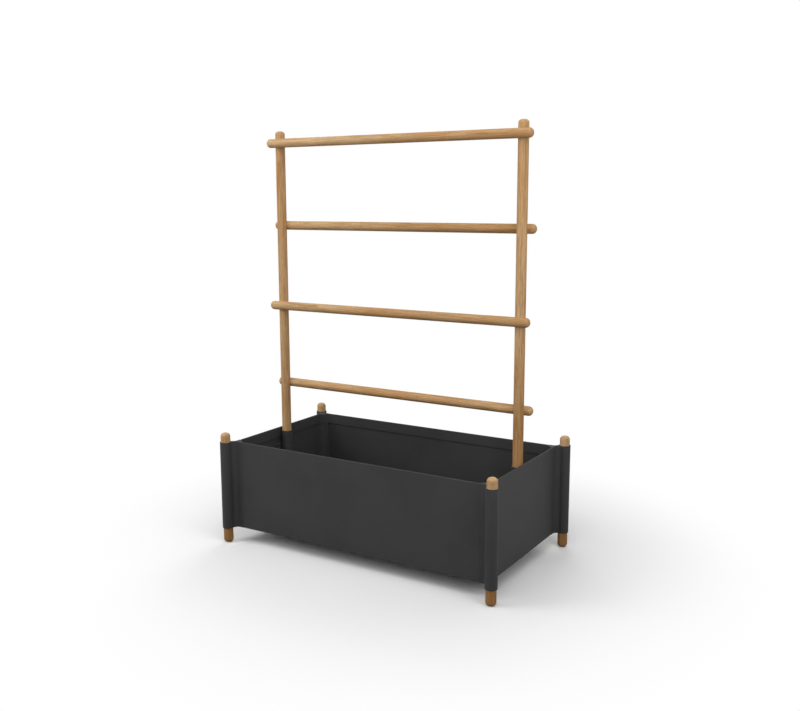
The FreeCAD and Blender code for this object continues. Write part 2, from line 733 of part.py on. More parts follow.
save(floor_plate(), "floor_plate")
for number, x in enumerate(rail_xs(), 1):
    save(floor_rail(x), "floor_rail_" + str(number))
rail_screw = wood_screw(rail_screw_r, rail_screw_length, rail_screw_head_r, rail_screw_head_h, False)
rail_screws = []
for side in (-1, 1):
    for x, y in rail_screw_places(side):
        head_top = Vector(x, y, box_bottom - rail_screw_head_h)
        rail_screws.append(aim(rail_screw, head_top, Vector(0, 0, -1)))
save(Part.Compound(rail_screws), "rail_screws")

saddle_nuts = []
for name, side in SIDES.items():
    save(socket(side), "trellis_socket_" + name)
    save(saddle(side), "socket_saddle_" + name)
    save(clamp_screw(side), "clamp_screw_" + name)
    saddle_nuts += [saddle_nut(side, y, z) for y, z in stud_places()]
save(Part.Compound(saddle_nuts), "saddle_nuts")

rung_screw = wood_screw(rung_screw_r, rung_screw_length, rung_screw_head_r, rung_screw_head_h, True)
rung_screws = []
for name, side in SIDES.items():
    save(trellis_post(side), "trellis_post_" + name)
    for i in range(rung_count):
        rung_screws.append(aim(rung_screw, rung_screw_axis(i, side), Vector(0, 1, 0)))
save(Part.Compound(rung_screws), "rung_screws")
for i in range(rung_count):
    save(trellis_rung(i), "trellis_rung_" + str(i + 1))
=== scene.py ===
import json
import math

import bmesh
import bpy
from mathutils import Matrix, Vector


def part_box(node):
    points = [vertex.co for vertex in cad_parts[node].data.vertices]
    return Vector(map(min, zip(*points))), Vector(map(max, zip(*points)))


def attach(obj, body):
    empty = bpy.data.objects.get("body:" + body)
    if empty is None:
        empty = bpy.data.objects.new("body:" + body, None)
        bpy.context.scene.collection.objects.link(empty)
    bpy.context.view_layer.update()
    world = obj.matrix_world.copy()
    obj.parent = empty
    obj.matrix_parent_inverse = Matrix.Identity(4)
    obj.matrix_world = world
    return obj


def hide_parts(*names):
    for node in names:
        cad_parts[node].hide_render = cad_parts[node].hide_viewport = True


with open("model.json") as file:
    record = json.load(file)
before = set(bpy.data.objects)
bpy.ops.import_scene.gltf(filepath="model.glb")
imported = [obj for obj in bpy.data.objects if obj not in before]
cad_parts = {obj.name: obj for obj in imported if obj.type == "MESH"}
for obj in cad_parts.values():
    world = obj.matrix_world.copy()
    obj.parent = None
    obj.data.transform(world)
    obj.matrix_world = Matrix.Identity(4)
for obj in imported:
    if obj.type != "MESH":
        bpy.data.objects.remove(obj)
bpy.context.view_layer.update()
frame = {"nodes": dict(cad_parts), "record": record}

bl_info = {
    "name": "Planter with trellis",
    "version": (1, 0, 0),
    "blender": (4, 5, 0),
    "location": "3D View > Sidebar > Planter",
    "description": "Powder-coated planter box on round teak sticks, with a lift-out teak trellis",
    "category": "Object",
}

BODY_OF = {node: body for body, nodes in frame["record"]["behaviour"]["bodies"].items() for node in nodes}
CORNERS = {"front_left": (-1, -1), "front_right": (1, -1), "back_left": (-1, 1), "back_right": (1, 1)}
SIDES = {"left": -1, "right": 1}
RAILS = [f"floor_rail_{number}" for number in (1, 2, 3)]
COAT, STEEL, BLACK = "charcoal_coat", "brushed_steel_finish", "black_oxide"
UP = Vector((0, 0, 1))
ARC_STEP = math.radians(4)     # between the points of an arc
ROD_SIDES, WIDE_SIDES, HOLE_SIDES, SCREW_SIDES, PILOT_SIDES, NUT_SIDES = 96, 48, 32, 40, 24, 64
SHARP = math.radians(32)       # an edge past this angle stays sharp
NEAR = 1e-6
PROUD = 0.001                  # how far a cutter reaches past what it opens
SEAT_TOLERANCE = 0.0005        # between a piece's box and the box of the node it stands for


# ---------------------------------------------------------------- sizes and colours
def length(name, description, millimetres):
    return bpy.props.FloatProperty(name=name, description=description, default=millimetres / 1000,
                                   min=0.0, unit="LENGTH", precision=5)


def colour(name, description, value):
    return bpy.props.FloatVectorProperty(name=name, description=description, default=(*value, 1),
                                         size=4, min=0.0, max=1.0, subtype="COLOR")


def watts(name, description, value):
    return bpy.props.FloatProperty(name=name, description=description, default=value, min=0.0)


def count(name, description, value):
    return bpy.props.IntProperty(name=name, description=description, default=value, min=1)


class PlanterBoxSizes(bpy.types.PropertyGroup):
    sheet: length("Sheet", "Thickness of the wall sheet", 1.5)
    fold_radius: length("Fold radius", "Outer radius of every fold in the sheet", 2.5)
    hem_thickness: length("Hem thickness", "Thickness of the hollow hem", 5.2)
    hem_depth: length("Hem depth", "Height of the hollow hem", 33)
    flange: length("Flange", "Width of the fold under the walls", 25)
    sleeve_wall: length("Sleeve wall", "Wall of a corner post's round sleeve", 2.5)
    neck_half_angle: bpy.props.FloatProperty(
        name="Neck half angle", description="Half width of the neck where it meets the sleeve",
        default=math.radians(30), subtype="ANGLE")
    flare_start: length("Flare start", "Where the concave flare leaves the wall plane", 14)
    skin: length("Skin", "Skin of the flare and of the neck", 1.8)
    leg: length("Leg", "End of a corner post's leg, where the sheet begins", 26)
    lip: length("Lip", "Outer lip of the groove in a leg", 1.5)
    groove_depth: length("Groove depth", "How deep a wall's foot reaches into a leg", 9.5)
    groove_slip: length("Groove slip", "Clearance on each face of the foot", 0.2)
    groove_arm: length("Groove arm", "Inner lip of the groove", 1.6)
    groove_root: length("Groove root", "Web behind the groove", 1.8)
    arm_setback: length("Arm setback", "How much shorter the inner lip is", 1.0)
    web: length("Web", "Diagonal web inside the corner", 1.8)
    seam_gap: length("Seam gap", "Between a leg and the wall sheet", 0.2)
    edge_round: length("Edge rounding", "Of the sawn ends of the corner posts", 0.35)
    web_access_radius: length("Access hole", "Hole in the web for a stick screw", 4.8)
    web_access_start: length("Access start", "From the sleeve to the wider hole", 4.0)
    stick_screw_low: length("Lower stick screw", "Above the underside of the walls", 70)
    stick_screw_high: length("Upper stick screw", "Above the underside of the walls", 200)


class PlanterRodSizes(bpy.types.PropertyGroup):
    stick_span_x: length("Stick span, long side", "Between the axes of the corner sticks", 920)
    stick_span_y: length("Stick span, short side", "Between the axes of the corner sticks", 504)
    stick_radius: length("Stick radius", "Of a corner stick and of a trellis post", 15)
    stick_fit: length("Stick fit", "Radial clearance of a stick in its sleeve", 0.15)
    stick_height: length("Stick height", "Corner stick, foot to top", 353.5)
    stick_round: length("Stick end rounding", "Of the ends of the corner sticks", 11)
    post_inset: length("Post inset", "From a stick's axis inwards to a post's", 42.5)
    post_top: length("Post top", "Top of the trellis posts", 1280)
    post_bottom: length("Post bottom", "Foot of the posts in their sockets", 133.8)
    post_round: length("Post end rounding", "Of the ends of the posts", 10)
    rung_radius: length("Rung radius", "Radius of a trellis rung", 13.8)
    rung_round: length("Rung end rounding", "Of the ends of the rungs", 12)
    rung_overhang: length("Rung overhang", "End of a rung beyond a post's axis", 36)
    rung_offset: length("Rung offset", "Rung axis before or behind a post's axis", 16.5)
    rung_drop: length("Rung drop", "From the posts' top to the top rung's axis", 37.5)
    rung_pitch: length("Rung pitch", "Between the axes of the rungs", 255.8)
    lap_slip: length("Lap slip", "Clearance on the round sides of a cross lap", 0.1)


class PlanterSocketSizes(bpy.types.PropertyGroup):
    outer_radius: length("Tube radius", "Outer radius of a socket", 17.65)
    bore_radius: length("Bore radius", "Bore of a socket", 15.08)
    top: length("Mouth height", "Mouth of the sockets above the ground", 314.5)
    depth: length("Socket depth", "From the mouth to a socket's floor", 181)
    floor: length("Socket floor", "Thickness of a socket's floor", 3)
    drain_radius: length("Drain radius", "Drain hole in a socket's floor", 4)
    mouth_chamfer: length("Mouth chamfer", "Chamfer round the mouth", 0.6)
    saddle_width: length("Saddle width", "Width of a saddle", 62)
    saddle_height: length("Saddle height", "Height of a saddle", 100)
    saddle_thickness: length("Saddle thickness", "Thickness of a saddle", 5.5)
    saddle_corner: length("Saddle corner", "Radius of a saddle's corners", 5)
    saddle_drop: length("Saddle drop", "Top of a saddle under the mouth", 44)
    saddle_slip: length("Saddle slip", "Between a saddle and its tube", 0.05)
    stud_radius: length("Stud radius", "Radius of the weld studs", 3)
    stud_length: length("Stud length", "From the sheet to the stud's end", 12.5)
    stud_spacing_y: length("Stud spacing, across", "Between the studs", 44)
    stud_spacing_z: length("Stud spacing, upright", "Between the studs", 60)
    stud_slip: length("Stud slip", "Clearance of a stud in the saddle", 0.2)
    nut_across_flats: length("Nut", "Nut across flats", 10)
    nut_height: length("Nut height", "Height of a nut", 5)
    clamp_radius: length("Clamp screw radius", "Radius of a clamp screw", 3)
    clamp_fit: length("Clamp fit", "Radial clearance of a clamp screw", 0.06)
    clamp_length: length("Clamp screw length", "Length of a clamp screw", 3.9)
    clamp_drop: length("Clamp drop", "Clamp screw's axis under the mouth", 42)
    clamp_tip_gap: length("Clamp tip gap", "Between a clamp screw and the post", 0.25)
    clamp_chamfer: length("Clamp chamfer", "Round both ends of a clamp screw", 0.3)
    clamp_hex: length("Clamp hex", "Hex recess across flats", 3)
    clamp_hex_depth: length("Clamp hex depth", "Depth of the hex recess", 2)


class PlanterFloorSizes(bpy.types.PropertyGroup):
    rail_top: length("Rail top", "Width of the top of a floor rail", 30)
    rail_height: length("Rail height", "Height of a floor rail", 20)
    rail_brim: length("Rail brim", "Width of a rail's brim", 12)
    plate: length("Plate", "Thickness of the floor plate", 2)
    plate_slip: length("Plate slip", "Gap between the floor plate and the walls", 1)
    plate_edge: length("Plate edge", "Rounding of the floor plate's edge", 3)
    drain_radius: length("Drain radius", "Radius of the drain holes", 6)
    drain_column_pitch: length("Drain column pitch", "Between drain holes along the box", 145)
    drain_row_pitch: length("Drain row pitch", "Between drain holes across the box", 120)
    drain_columns: count("Drain columns", "Drain holes along the box", 6)
    drain_rows: count("Drain rows", "Drain holes across the box", 3)


class PlanterScrewSizes(bpy.types.PropertyGroup):
    rung_radius: length("Rung screw radius", "Shank of a rung screw", 2.2)
    rung_length: length("Rung screw length", "Under the head", 34)
    rung_head: length("Rung screw head", "Radius of the countersunk head", 4.2)
    rung_head_height: length("Rung screw head height", "Of the countersunk head", 2.6)
    rung_sink: length("Rung screw sink", "Of the head below the rod's back", 1.2)
    stick_radius: length("Stick screw radius", "Shank of a stick screw", 2.0)
    stick_length: length("Stick screw length", "Under the head", 15)
    stick_head: length("Stick screw head", "Radius of the pan head", 4.0)
    stick_head_height: length("Stick screw head height", "Of the pan head", 2.4)
    rail_radius: length("Rail screw radius", "Shank of a rail screw", 2.0)
    rail_length: length("Rail screw length", "Under the head", 7)
    rail_head: length("Rail screw head", "Radius of the pan head", 3.8)
    rail_head_height: length("Rail screw head height", "Of the pan head", 2.2)
    rail_inset: length("Rail screw inset", "From the outer face of the wall", 12)
    slip: length("Screw slip", "Radial clearance of a screw in its hole", 0.05)
    seat_gap: length("Screw seat gap", "Under the head of a stick screw", 0.05)
    taper: length("Screw taper", "Length of a screw's point", 4.0)
    point: length("Screw point", "Radius at the tip of the point", 0.4)
    recess_width: length("Recess width", "Width of each arm of the cross recess", 1.1)
    recess_depth: length("Recess depth", "Depth of the cross recess", 1.3)


class PlanterColours(bpy.types.PropertyGroup):
    coat: colour("Coat", "Charcoal powder coat", (0.044, 0.044, 0.044))
    coat_light: colour("Coat, light grain", "Raised grain of the powder coat", (0.064, 0.064, 0.064))
    teak_pale: colour("Teak, pale", "Early wood", (0.72, 0.50, 0.28))
    # teak_dark also colours the painted shade at a rod's darker end
    teak_dark: colour("Teak, dark", "Late wood and streaks", (0.30, 0.126, 0.025))
    teak_warm: colour("Teak, warm", "Honey patches", (0.55, 0.27, 0.105))
    teak_pore: colour("Teak, pores", "Open pores along the grain", (0.12, 0.058, 0.018))
    teak_end: colour("Teak, end grain", "Rounded ends", (0.60, 0.40, 0.23))
    steel: colour("Steel", "Stainless screws and nuts", (0.56, 0.55, 0.53))
    steel_dull: colour("Steel, dull", "Stains on the stainless", (0.30, 0.29, 0.28))
    black_oxide: colour("Black oxide", "Blackened clamp screws", (0.012, 0.012, 0.012))
    floor: colour("Floor", "Pale studio floor", (0.97, 0.97, 0.97))
    floor_speck: colour("Floor speck", "Faint mottling of the floor", (0.80, 0.80, 0.80))
    floor_bounce: colour("Floor bounce", "What the floor gives back to the planter", (0.14, 0.14, 0.14))


class PlanterLight(bpy.types.PropertyGroup):
    sky: watts("Sky", "Even light from all round", 0.32)
    left: watts("Left light", "Soft light from the front left", 27)
    right: watts("Right light", "Soft light from the right", 6)
    front: watts("Front light", "Soft light beside the camera", 13)
    top: watts("Top light", "Large soft light overhead, towards the camera", 26)
    back: watts("Back light", "Soft light from behind", 22)


class PlanterSettings(bpy.types.PropertyGroup):
    box: bpy.props.PointerProperty(type=PlanterBoxSizes)
    rods: bpy.props.PointerProperty(type=PlanterRodSizes)
    socket: bpy.props.PointerProperty(type=PlanterSocketSizes)
    floor: bpy.props.PointerProperty(type=PlanterFloorSizes)
    screws: bpy.props.PointerProperty(type=PlanterScrewSizes)
    colours: bpy.props.PointerProperty(type=PlanterColours)
    light: bpy.props.PointerProperty(type=PlanterLight)


# ---------------------------------------------------------------- places that several pieces share
class Plan:
    """The settings, and places worked out from them and from the flat faces of the frame."""

    def __init__(self, context):
        settings = context.scene.planter
        self.floor, self.screws, self.colours = settings.floor, settings.screws, settings.colours
        box, rods, sock = self.box, self.rods, self.sock = settings.box, settings.rods, settings.socket
        low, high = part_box("wall_front")
        self.wall_x, self.wall_y = -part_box("wall_left")[0].x, -low.y
        self.low, self.top = low.z, high.z
        self.hem_low = self.top - box.hem_depth
        self.setback = rods.stick_span_x / 2 - self.wall_x
        self.sleeve_bore = rods.stick_radius + rods.stick_fit
        self.sleeve = self.sleeve_bore + box.sleeve_wall
        self.foot_outer = box.lip + box.groove_slip
        self.foot_inner = self.foot_outer + box.sheet
        self.groove_inner = self.foot_inner + box.groove_slip
        self.arm_inner = self.groove_inner + box.groove_arm
        self.groove_end = box.leg - box.groove_depth
        self.root_inner = self.groove_end - box.groove_root
        self.arm_end = box.leg - box.arm_setback
        self.web_line = self.arm_end + self.arm_inner
        self.post_x = rods.stick_span_x / 2 - rods.post_inset
        self.rung_half = self.post_x + rods.rung_overhang
        self.saddle_top = sock.top - sock.saddle_drop
        self.saddle_face = self.wall_x - box.sheet - sock.saddle_thickness
        self.rail_low = self.low + box.sheet
        self.rungs = []
        for i, side in enumerate((-1, 1, -1, 1)):
            height = rods.post_top - rods.rung_drop - i * rods.rung_pitch
            self.rungs.append((side, side * rods.rung_offset, height))

    def sticks(self):
        """Name, foot and inward direction of each corner stick."""
        for name, (side_x, side_y) in CORNERS.items():
            foot = Vector((side_x * self.rods.stick_span_x / 2, side_y * self.rods.stick_span_y / 2, 0))
            yield name, foot, Vector((-side_x, -side_y, 0)).normalized()

    def stick_screw_heights(self):
        return [self.low + self.box.stick_screw_low, self.low + self.box.stick_screw_high]

    def stud_places(self):
        """Across and up, on a short wall."""
        across, upright = self.sock.stud_spacing_y / 2, self.sock.stud_spacing_z / 2
        middle = self.saddle_top - self.sock.saddle_height / 2
        return [(y, middle + z) for y in (-across, across) for z in (-upright, upright)]

    def clamp(self, side_x):
        """Inner end of a clamp screw, just off the post, and the way it points."""
        inward = Vector((-side_x, 0, 0))
        centre = Vector((side_x * self.post_x, 0, self.sock.top - self.sock.clamp_drop))
        return centre + inward * (self.rods.stick_radius + self.sock.clamp_tip_gap), inward

    def rung_screws(self):
        """Head and direction of each rung screw. Every one goes in from behind."""
        for post in SIDES.values():
            for side, rung_y, height in self.rungs:
                back = self.rods.stick_radius if side < 0 else rung_y + self.rods.rung_radius
                yield (post * self.post_x, back - self.screws.rung_sink, height), (0, 1, 0)


def corner_matrix(plan, side_x, side_y):
    """From corner coordinates (inwards along the two walls, up) to the frame."""
    place = Matrix.Translation((side_x * plan.wall_x, side_y * plan.wall_y, 0))
    return place @ Matrix.Diagonal((-side_x, -side_y, 1, 1))


def wall_matrix(plan, name):
    """From a wall's own coordinates (along, inwards, up) to the frame."""
    turn, place = {
        "front": (0, (0, -plan.wall_y, 0)), "back": (180, (0, plan.wall_y, 0)),
        "left": (-90, (-plan.wall_x, 0, 0)), "right": (90, (plan.wall_x, 0, 0)),
    }[name]
    return Matrix.Translation(place) @ Matrix.Rotation(math.radians(turn), 4, "Z")


def aimed(place, direction):
    """From a piece drawn along +Z to its place and direction."""
    return Matrix.Translation(place) @ Vector(direction).to_track_quat("Z", "Y").to_matrix().to_4x4()


# ---------------------------------------------------------------- solids
def arc(centre, radius, start, end, step=ARC_STEP):
    """Points along an arc in the plane, both ends included."""
    parts = max(2, math.ceil(abs(end - start) / step))
    angles = [start + (end - start) * i / parts for i in range(parts + 1)]
    return [(centre[0] + radius * math.cos(a), centre[1] + radius * math.sin(a)) for a in angles]


def circle(centre, radius, sides=ROD_SIDES):
    return arc(centre, radius, 0, math.tau, math.tau / sides)[:-1]


def hexagon(across_flats):
    radius = across_flats / math.sqrt(3)
    return [(radius * math.cos(math.radians(60 * k)), radius * math.sin(math.radians(60 * k))) for k in range(6)]


def swapped(points):
    """The same outline across the diagonal of a corner, drawn the other way round."""
    return [(v, u) for u, v in reversed(points)]


def prism(outlines, low, high):
    """A closed solid along +Z. The first outline is its outside, and the others are holes."""
    solid = bmesh.new()
    bottom = [[solid.verts.new((u, v, low)) for u, v in outline] for outline in outlines]
    edges = [solid.edges.new((ring[i - 1], ring[i])) for ring in bottom for i in range(len(ring))]
    bmesh.ops.triangle_fill(solid, use_beauty=True, edges=edges)
    above = {vert: solid.verts.new((vert.co.x, vert.co.y, high)) for ring in bottom for vert in ring}
    for face in solid.faces[:]:
        solid.faces.new([above[vert] for vert in reversed(face.verts[:])])
    for ring in bottom:
        for i in range(len(ring)):
            a, b = ring[i - 1], ring[i]
            solid.faces.new((a, b, above[b], above[a]))
    bmesh.ops.recalc_face_normals(solid, faces=solid.faces)
    return solid


def rims(solid, *heights):
    """Edges between an end face and the sides, at these heights."""
    return [edge for edge in solid.edges
            if any(all(abs(vert.co.z - height) < NEAR for vert in edge.verts) for height in heights)
            and len({abs(face.normal.z) > 0.5 for face in edge.link_faces}) == 2]


def round_over(solid, edges, radius, steps):
    bmesh.ops.bevel(solid, geom=edges, offset=radius, segments=steps, affect="EDGES", profile=0.5)


def lathe(profile, sides, closed=False):
    """A solid turned about +Z from (radius, height) points. A closed profile makes a ring."""
    solid = bmesh.new()
    rings = []
    for radius, height in profile:
        around = circle((0, 0), radius, sides) if radius > NEAR else [(0, 0)]
        rings.append([solid.verts.new((u, v, height)) for u, v in around])
    pairs = list(zip(rings, rings[1:]))
    if closed:
        pairs.append((rings[-1], rings[0]))
    for lower, upper in pairs:
        for i in range(sides):
            j = (i + 1) % sides
            corners = [lower[i % len(lower)], lower[j % len(lower)], upper[j % len(upper)], upper[i % len(upper)]]
            unique = list(dict.fromkeys(corners))
            if len(unique) > 2:
                solid.faces.new(unique)
    bmesh.ops.recalc_face_normals(solid, faces=solid.faces)
    return solid


def to_mesh(solid, matrix=None):
    """A mesh from a solid, moved to its place, with its faces outwards."""
    mesh = bpy.data.meshes.new("solid")
    if matrix is not None:
        solid.transform(matrix)
        bmesh.ops.recalc_face_normals(solid, faces=solid.faces)
    solid.to_mesh(mesh)
    solid.free()
    return mesh


def pin(radius, reach, sides, place, direction):
    """A plain round pin or hole from a place in a direction."""
    profile = [(0, 0), (radius, 0), (radius, reach), (0, reach)]
    return to_mesh(lathe(profile, sides), aimed(place, direction))


def joined(meshes):
    """One mesh that holds all of these."""
    whole = bmesh.new()
    for mesh in meshes:
        whole.from_mesh(mesh)
        bpy.data.meshes.remove(mesh)
    return to_mesh(whole)


def make_object(name, mesh):
    mesh.name = name
    piece = bpy.data.objects.new(name, mesh)
    bpy.context.scene.collection.objects.link(piece)
    return piece


def settled_mesh(piece):
    """The mesh of a piece with its modifiers worked in."""
    graph = bpy.context.evaluated_depsgraph_get()
    mesh = bpy.data.meshes.new_from_object(piece.evaluated_get(graph))
    piece.modifiers.clear()
    return mesh


def combine(mesh, others, operation="DIFFERENCE"):
    """Cut, join or trim a mesh with others. The others don't touch each other."""
    piece = make_object("work", mesh)
    tool = make_object("tool", joined(others))
    boolean = piece.modifiers.new("shape", "BOOLEAN")
    boolean.operation = operation
    boolean.solver = "EXACT"
    boolean.object = tool
    result = settled_mesh(piece)
    bpy.data.objects.remove(piece)
    bpy.data.objects.remove(tool)
    return result


def set_finish(mesh, finish):
    mesh.materials.clear()
    mesh.materials.append(bpy.data.materials[finish])


def hand_over(node, part, mesh, finish):
    """A finished piece takes the place of its node and rides on that node's body."""
    piece = make_object(f"{node}_{part}", mesh)
    set_finish(mesh, finish)
    mesh.polygons.foreach_set("use_smooth", [True] * len(mesh.polygons))
    mesh.set_sharp_from_angle(angle=SHARP)
    mesh.update()
    low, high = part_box(node)
    for axis in range(3):
        values = [vert.co[axis] for vert in mesh.vertices]
        if abs(min(values) - low[axis]) > SEAT_TOLERANCE or abs(max(values) - high[axis]) > SEAT_TOLERANCE:
            raise RuntimeError(f"{piece.name} spans {min(values)} to {max(values)} along axis {axis}, "
                               f"and {node} spans {low[axis]} to {high[axis]}")
    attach(piece, BODY_OF[node])
    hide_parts(node)


# ---------------------------------------------------------------- node trees
SOCKETS = {float: "Float", int: "Int", tuple: "Vector"}
OUTPUTS = {"GeometryNodeTree": {"Geometry": "Geometry"},
           "ShaderNodeTree": {"Color": "Color", "Roughness": "Float", "Height": "Float"}}
ORIGIN = (0, 0, 0)


class Graph:
    """Adds nodes to a tree. An input takes a constant or another node's output."""

    def __init__(self, tree):
        self.tree = tree

    def put(self, socket, value):
        if isinstance(value, bpy.types.NodeSocket):
            self.tree.links.new(value, socket)
        else:
            socket.default_value = value

    def add(self, kind, inputs=None, out=0, **settings):
        node = self.tree.nodes.new(kind)
        for name, value in settings.items():
            setattr(node, name, value)
        for key, value in (inputs or {}).items():
            self.put(node.inputs[key], value)
        return node.outputs[out] if out is not None else node

    def math(self, operation, a, b=0.0, clamp=False):
        return self.add("ShaderNodeMath", {0: a, 1: b}, operation=operation, use_clamp=clamp)

    def plus(self, a, b, clamp=False):
        return self.math("ADD", a, b, clamp)

    def minus(self, a, b):
        return self.math("SUBTRACT", a, b)

    def times(self, a, b):
        return self.math("MULTIPLY", a, b)

    def choose(self, switch, off, on):
        return self.add("GeometryNodeSwitch", {0: switch, 1: off, 2: on}, input_type="FLOAT")

    def scaled(self, vector, factors):
        return self.add("ShaderNodeVectorMath", {0: vector, 1: factors}, operation="MULTIPLY")

    def reach(self, vector):
        return self.add("ShaderNodeVectorMath", {0: vector}, operation="LENGTH", out=1)

    def noise(self, vector, scale, detail=2.0, roughness=0.5, distortion=0.0):
        return self.add("ShaderNodeTexNoise", {"Vector": vector, "Scale": scale, "Detail": detail,
                                               "Roughness": roughness, "Distortion": distortion})

    def ramp(self, value, low, high, to_low=0.0, to_high=1.0):
        return self.add("ShaderNodeMapRange", {"Value": value, "From Min": low, "From Max": high,
                                               "To Min": to_low, "To Max": to_high},
                        interpolation_type="SMOOTHSTEP")

    def mix(self, factor, a, b):
        return self.add("ShaderNodeMix", {"Factor": factor, 6: a, 7: b}, out=2, data_type="RGBA")

    def mix_shader(self, factor, a, b):
        return self.add("ShaderNodeMixShader", {0: factor, 1: a, 2: b})

    def seen(self):
        """1 for the eye and for what is seen in metal or glass, 0 for light that bounces."""
        rays = self.add("ShaderNodeLightPath", out=None).outputs
        mirrored = self.math("MAXIMUM", rays["Is Glossy Ray"], rays["Is Transmission Ray"])
        return self.math("MAXIMUM", rays["Is Camera Ray"], mirrored)


def new_tree(name, kind, inputs):
    """A node group. Each input comes with its default value, or with its type in a word."""
    tree = bpy.data.node_groups.new(name, kind)
    for label, given in inputs.items():
        socket = SOCKETS.get(type(given), given)
        item = tree.interface.new_socket(label, in_out="INPUT", socket_type=f"NodeSocket{socket}")
        if not isinstance(given, str):
            item.default_value = given
    for label, socket in OUTPUTS[kind].items():
        tree.interface.new_socket(label, in_out="OUTPUT", socket_type=f"NodeSocket{socket}")
    start = tree.nodes.new("NodeGroupInput")
    end = tree.nodes.new("NodeGroupOutput")
    return Graph(tree), start.outputs, end.inputs


def tree_of(build):
    """The tree that a function builds, made the first time it is asked for."""
    return bpy.data.node_groups.get(build.__name__) or build()


def grow(tree, values, start=None):
    """The plain mesh that a geometry tree makes from these inputs."""
    piece = make_object("work", start or bpy.data.meshes.new("start"))
    modifier = piece.modifiers.new("shape", "NODES")
    modifier.node_group = tree
    for item in tree.interface.items_tree:
        if item.item_type == "SOCKET" and item.in_out == "INPUT" and item.name in values:
            modifier[item.identifier] = values[item.name]
    mesh = settled_mesh(piece)
    bpy.data.objects.remove(piece)
    return mesh


def finish_tree(graph, mesh, material, end):
    """Every geometry tree ends with its instances made real and its material set."""
    real = graph.add("GeometryNodeRealizeInstances", {"Geometry": mesh})
    graph.put(end["Geometry"], graph.add("GeometryNodeSetMaterial", {"Geometry": real, "Material": material}))
    return graph.tree


def rounded_rod():
    """A round rod along +Z from the origin, both ends rounded over, then turned and moved."""
    graph, given, end = new_tree("rounded_rod", "GeometryNodeTree", {
        "Radius": 0.015, "Length": 0.3, "End Rounding": 0.006, "Arc Steps": 10, "Sides": ROD_SIDES,
        "Place": ORIGIN, "Turn": ORIGIN, "Material": "Material"})
    steps, rounding, whole = given["Arc Steps"], given["End Rounding"], given["Length"]
    twice = graph.times(steps, 2.0)
    line = graph.add("GeometryNodeMeshLine", {"Count": graph.plus(twice, 2.0), "Offset": ORIGIN})
    index = graph.add("GeometryNodeInputIndex")
    upper = graph.math("GREATER_THAN", index, steps)
    step = graph.choose(upper, index, graph.minus(graph.plus(twice, 1.0), index))
    angle = graph.times(graph.math("DIVIDE", step, steps), math.pi / 2)
    rise = graph.times(rounding, graph.minus(1.0, graph.math("COSINE", angle)))
    height = graph.choose(upper, rise, graph.minus(whole, rise))
    place = graph.add("ShaderNodeCombineXYZ", {"Z": height})
    points = graph.add("GeometryNodeSetPosition", {"Geometry": line, "Position": place})
    path = graph.add("GeometryNodeMeshToCurve", {"Mesh": points})
    z = graph.add("ShaderNodeSeparateXYZ", {0: graph.add("GeometryNodeInputPosition")}, out=2)
    inset = graph.math("MINIMUM", z, graph.minus(whole, z))
    short = graph.math("MAXIMUM", graph.minus(rounding, inset), 0.0)
    square = graph.minus(graph.times(rounding, rounding), graph.times(short, short))
    swell = graph.math("SQRT", graph.math("MAXIMUM", square, 0.0))
    radius = graph.plus(graph.minus(given["Radius"], rounding), swell)
    section = graph.add("GeometryNodeCurvePrimitiveCircle", {"Resolution": given["Sides"], "Radius": 1.0})
    rod = graph.add("GeometryNodeCurveToMesh", {
        "Curve": path, "Profile Curve": section, "Scale": radius, "Fill Caps": True})
    moved = graph.add("GeometryNodeTransform", {
        "Geometry": rod, "Translation": given["Place"], "Rotation": given["Turn"]})
    return finish_tree(graph, moved, given["Material"], end)


def fixings():
    """One fixing on every point of a mesh, aimed along the point's direction."""
    graph, given, end = new_tree("fixings", "GeometryNodeTree", {
        "Geometry": "Geometry", "Fixing": "Object", "Material": "Material"})
    direction = graph.add("GeometryNodeInputNamedAttribute", {"Name": "direction"}, data_type="FLOAT_VECTOR")
    turn = graph.add("FunctionNodeAlignRotationToVector", {"Vector": direction}, axis="Z")
    fixing = graph.add("GeometryNodeObjectInfo", {"Object": given["Fixing"]}, out="Geometry")
    placed = graph.add("GeometryNodeInstanceOnPoints", {
        "Points": given["Geometry"], "Instance": fixing, "Rotation": turn})
    return finish_tree(graph, placed, given["Material"], end)


def drained_plate():
    """Holes in rows and columns through a plate."""
    graph, given, end = new_tree("drained_plate", "GeometryNodeTree", {
        "Geometry": "Geometry", "Columns": 6, "Rows": 3, "Column Pitch": 0.145, "Row Pitch": 0.12,
        "Hole Radius": 0.006, "Sides": WIDE_SIDES, "Height": 0.07, "Depth": 0.01, "Material": "Material"})
    size_x = graph.times(given["Column Pitch"], graph.minus(given["Columns"], 1.0))
    size_y = graph.times(given["Row Pitch"], graph.minus(given["Rows"], 1.0))
    grid = graph.add("GeometryNodeMeshGrid", {
        "Size X": size_x, "Size Y": size_y, "Vertices X": given["Columns"], "Vertices Y": given["Rows"]})
    place = graph.add("ShaderNodeCombineXYZ", {"Z": given["Height"]})
    raised = graph.add("GeometryNodeTransform", {"Geometry": grid, "Translation": place})
    drill = graph.add("GeometryNodeMeshCylinder", {
        "Vertices": given["Sides"], "Radius": given["Hole Radius"], "Depth": given["Depth"]})
    drills = graph.add("GeometryNodeInstanceOnPoints", {"Points": raised, "Instance": drill})
    real = graph.add("GeometryNodeRealizeInstances", {"Geometry": drills})
    plate = graph.add("GeometryNodeMeshBoolean", {"Mesh 1": given["Geometry"], "Mesh 2": real},
                      operation="DIFFERENCE", solver="EXACT")
    return finish_tree(graph, plate, given["Material"], end)


